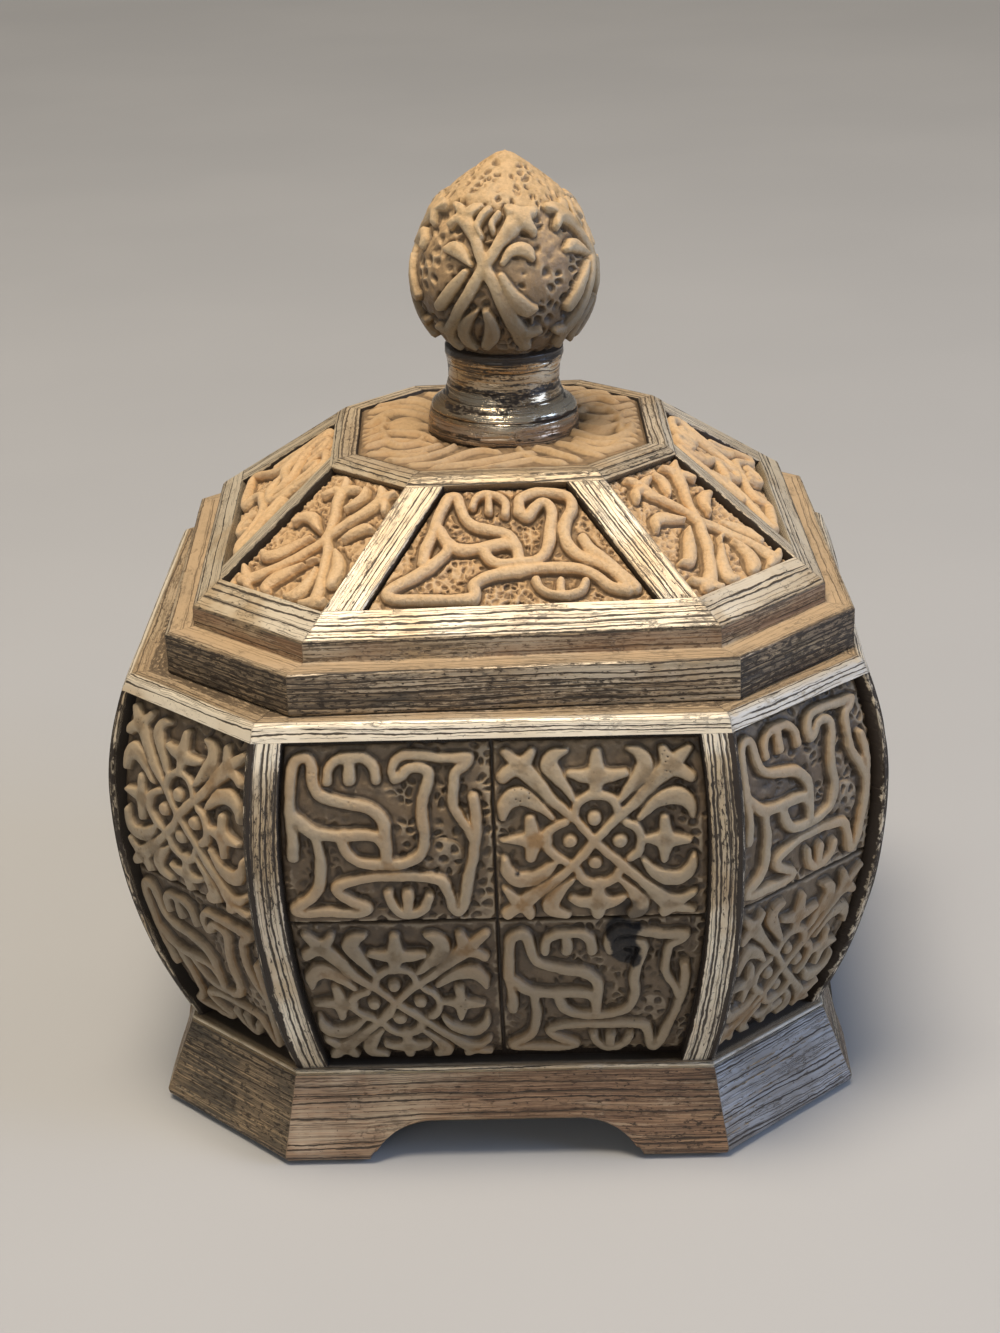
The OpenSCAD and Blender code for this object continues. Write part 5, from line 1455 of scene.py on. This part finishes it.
def stem():
    """Base disc, neck and collar of the knob, ringed with scratches, with painted shade at its foot where it sits on
    the lid.
    """
    prof = [(0.0, 0.0), (11.2, 0.0), (11.6, 0.25), (11.6, 0.8), (11.52, 2.0), (11.3, 3.35), (11.25, 3.7), (11.15, 4.1), (11.0, 4.4), (10.6, 4.85), (10.0, 5.2), (9.5, 5.65), (9.1, 6.2), (8.7, 7.2), (8.5, 8.2), (8.5, 9.4), (8.6, 10.5), (8.8, 11.5), (9.0, 12.2), (9.0, 13.4), (8.2, 13.9)]
    prof = np.array(prof)
    seg = np.hypot(*(np.diff(prof, axis=0).T))
    along = np.concatenate([[0], np.cumsum(seg)])
    s = np.concatenate([np.linspace(9.0, 11.2, 4), np.arange(11.3, along[-1], 0.13)])
    r = np.interp(s, along, prof[:, 0])
    z = np.interp(s, along, prof[:, 1])
    nt = 220
    th = np.linspace(0, 2 * math.pi, nt, endpoint=False)
    T, R_ = np.meshgrid(th, r)
    _, Z = np.meshgrid(th, z)
    _, S = np.meshgrid(th, s)
    # the pattern is laid round the stem on a circle, so that it closes on itself
    cx_, cy_ = 10 * np.cos(T), 10 * np.sin(T)
    w_ = S + 0.30 * noise(cx_ / 7, cy_ / 7, S / 3.0, 124)
    g = smooth(1 - np.abs(noise(cx_ / 16, cy_ / 16, w_ / 0.55, 125)) / 0.24) * smooth(0.7 + noise(cx_ / 5, cy_ / 5, S / 1.2, 126))
    g = g * smooth((Z - 0.3) / 0.8)
    lump = noise(np.cos(T) * 4, np.sin(T) * 4, Z / 2.0, 121)
    R2_ = R_ - 0.09 * g - 0.06 - 0.08 * lump
    # the step between the lower band and the shoulder
    R2_ = R2_ - 0.22 * np.exp(-((Z - 3.75) / 0.16) ** 2)
    co = np.stack([R2_ * np.sin(T), -R2_ * np.cos(T), Z], -1).reshape(-1, 3)
    k = len(co)
    nr = len(s)
    co = np.vstack([co, [[0, 0, 0]], [[0, 0, 13.9]]])
    grid = np.arange(k).reshape(nr, nt)
    g2 = np.hstack([grid, grid[:, :1]])
    faces = [np.stack([g2[:-1, :-1], g2[:-1, 1:], g2[1:, 1:], g2[1:, :-1]], -1).reshape(-1, 4),
             fan(np.arange(nt), k, True), fan(np.arange((nr - 1) * nt, nr * nt), k + 1)]
    # painted highlight: a paler band of leaf round the disc's shoulder
    tone = 0.74 + 0.50 * noise(cx_ / 6, cy_ / 6, Z / 2.1, 122) + 0.45 * np.exp(-((Z - 4.6) / 0.7) ** 2)
    tone = tone - 0.30 * smooth((Z - 11.6) / 0.8)
    bole = 0.80 * smooth((3.6 - Z) / 0.8) * smooth(0.75 + noise(cx_ / 4, cy_ / 4, Z / 1.2, 123)) * smooth((Z - 0.4) / 0.6)
    black = smooth((noise(cx_ / 8, cy_ / 8, Z / 1.3, 127) + 0.35 * noise(cx_ / 2.4, cy_ / 2.4, Z / 0.7, 128) - 0.02) / 0.55)
    # wash: black patches, the collar's top and the step's groove, and painted shade at the foot where the disc meets
    # the lid's top
    wash = 0.55 * black * smooth((Z - 0.8) / 0.5) + smooth((0.75 + 0.35 * lump - Z) / 0.4) + 0.75 * smooth((Z - 12.2) / 0.5) + 0.5 * np.exp(-((Z - 3.75) / 0.22) ** 2)
    sv = np.stack([cy_ * 1.6, S, cx_ * 0.10 + 3.0], -1).reshape(-1, 3)
    def full(a):
        a = a.reshape(k, -1)
        return np.vstack([a, a[:1], a[-1:]])
    attrs = dict(sv=full(sv), gr=full(0.12 + 0 * g)[:, 0], tone=full(tone)[:, 0], bole=full(bole)[:, 0], dust_and_top_light=full(S * 0)[:, 0], wash=full(wash)[:, 0])
    me = thin(raw_mesh("stem", co, faces, attrs), 42000)
    piece("knob_stem", me, knob_place(points(me)), M_PEWTER, "lid", nodes=("knob",), sharp=60)


stem()

# ---------------------------------------------------------------- floor, light and camera
def floor():
    g = Graph("floor_pale")
    place = g.place()
    g.put(g.bsdf.inputs["Base Color"], g.mix(g.ramp(g.noise(place, 6.0, 3.0), 0.3, 0.7), (0.470, 0.500, 0.550), (0.495, 0.525, 0.575)))
    g.bsdf.inputs["Roughness"].default_value = 0.85
    me = bpy.data.meshes.new("floor")
    s = 60.0
    me.from_pydata([(-s, -s, -0.0003), (s, -s, -0.0003), (s, s, -0.0003), (-s, s, -0.0003)], [], [(0, 1, 2, 3)])
    me.materials.append(g.mat)
    o = bpy.data.objects.new("floor", me)
    bpy.context.scene.collection.objects.link(o)


floor()


def lamp(name, place, aim, size, watts, colour, shape="RECTANGLE", size_y=None):
    d = bpy.data.lights.new(name, "AREA")
    d.shape = shape
    d.size = size
    if size_y:
        d.size_y = size_y
    d.energy = watts
    d.color = colour
    o = bpy.data.objects.new(name, d)
    o.location = place
    o.rotation_euler = (Vector(aim) - Vector(place)).to_track_quat("-Z", "Y").to_euler()
    bpy.context.scene.collection.objects.link(o)
    return o


lamp("key_above", (-0.10, -0.16, 1.05), (0, 0, 0.07), 0.46, 6.6, (1.0, 0.83, 0.62), size_y=0.38)
lamp("fill_front", (-0.22, -1.10, 0.48), (0, 0, 0.06), 0.70, 1.7, (1.0, 0.95, 0.88), size_y=0.34)
lamp("cool_right", (1.00, -0.28, 0.40), (0, 0, 0.05), 0.5, 4.4, (0.50, 0.67, 1.0), size_y=0.5)
sun = bpy.data.lights.new("key_even", "SUN")
sun.energy = 1.15
sun.angle = math.radians(26)
sun.color = (1.0, 0.83, 0.62)
sun_o = bpy.data.objects.new("key_even", sun)
sun_o.rotation_euler = Vector((0.10, 0.16, -0.98)).to_track_quat("-Z", "Y").to_euler()
bpy.context.scene.collection.objects.link(sun_o)

world = bpy.data.worlds.new("studio")
bpy.context.scene.world = world
world.use_nodes = True
bg = world.node_tree.nodes.get("Background") or world.node_tree.nodes.new("ShaderNodeBackground")
bg.inputs["Color"].default_value = (0.80, 0.78, 0.75, 1)
bg.inputs["Strength"].default_value = 0.19
out = world.node_tree.nodes.get("World Output") or world.node_tree.nodes.new("ShaderNodeOutputWorld")
world.node_tree.links.new(bg.outputs[0], out.inputs[0])

bpy.context.scene.view_settings.view_transform = "Standard"
bpy.context.scene.view_settings.look = "None"
bpy.context.scene.view_settings.exposure = 0.0

cam_data = bpy.data.cameras.new("camera")
cam_data.sensor_fit = "AUTO"
cam_data.sensor_width = 36.0
cam_data.lens = 2673.3 * 36.0 / 1333.0
cam_data.clip_start = 0.01
cam = bpy.data.objects.new("camera", cam_data)
bpy.context.scene.collection.objects.link(cam)
az, pitch, roll = math.radians(-1.86), math.radians(21.63), math.radians(-2.08)
fwd = Vector((math.sin(az) * math.cos(pitch), math.cos(az) * math.cos(pitch), -math.sin(pitch)))
right = Vector((math.cos(az), -math.sin(az), 0))
up = right.cross(fwd)
r2 = math.cos(roll) * right + math.sin(roll) * up
u2 = -math.sin(roll) * right + math.cos(roll) * up
loc = Vector((-0.0001, 0.0, 0.0577)) - fwd * 0.4235
rot = Matrix((r2, u2, -fwd)).transposed()
cam.matrix_world = Matrix.Translation(loc) @ rot.to_4x4()
bpy.context.scene.camera = cam
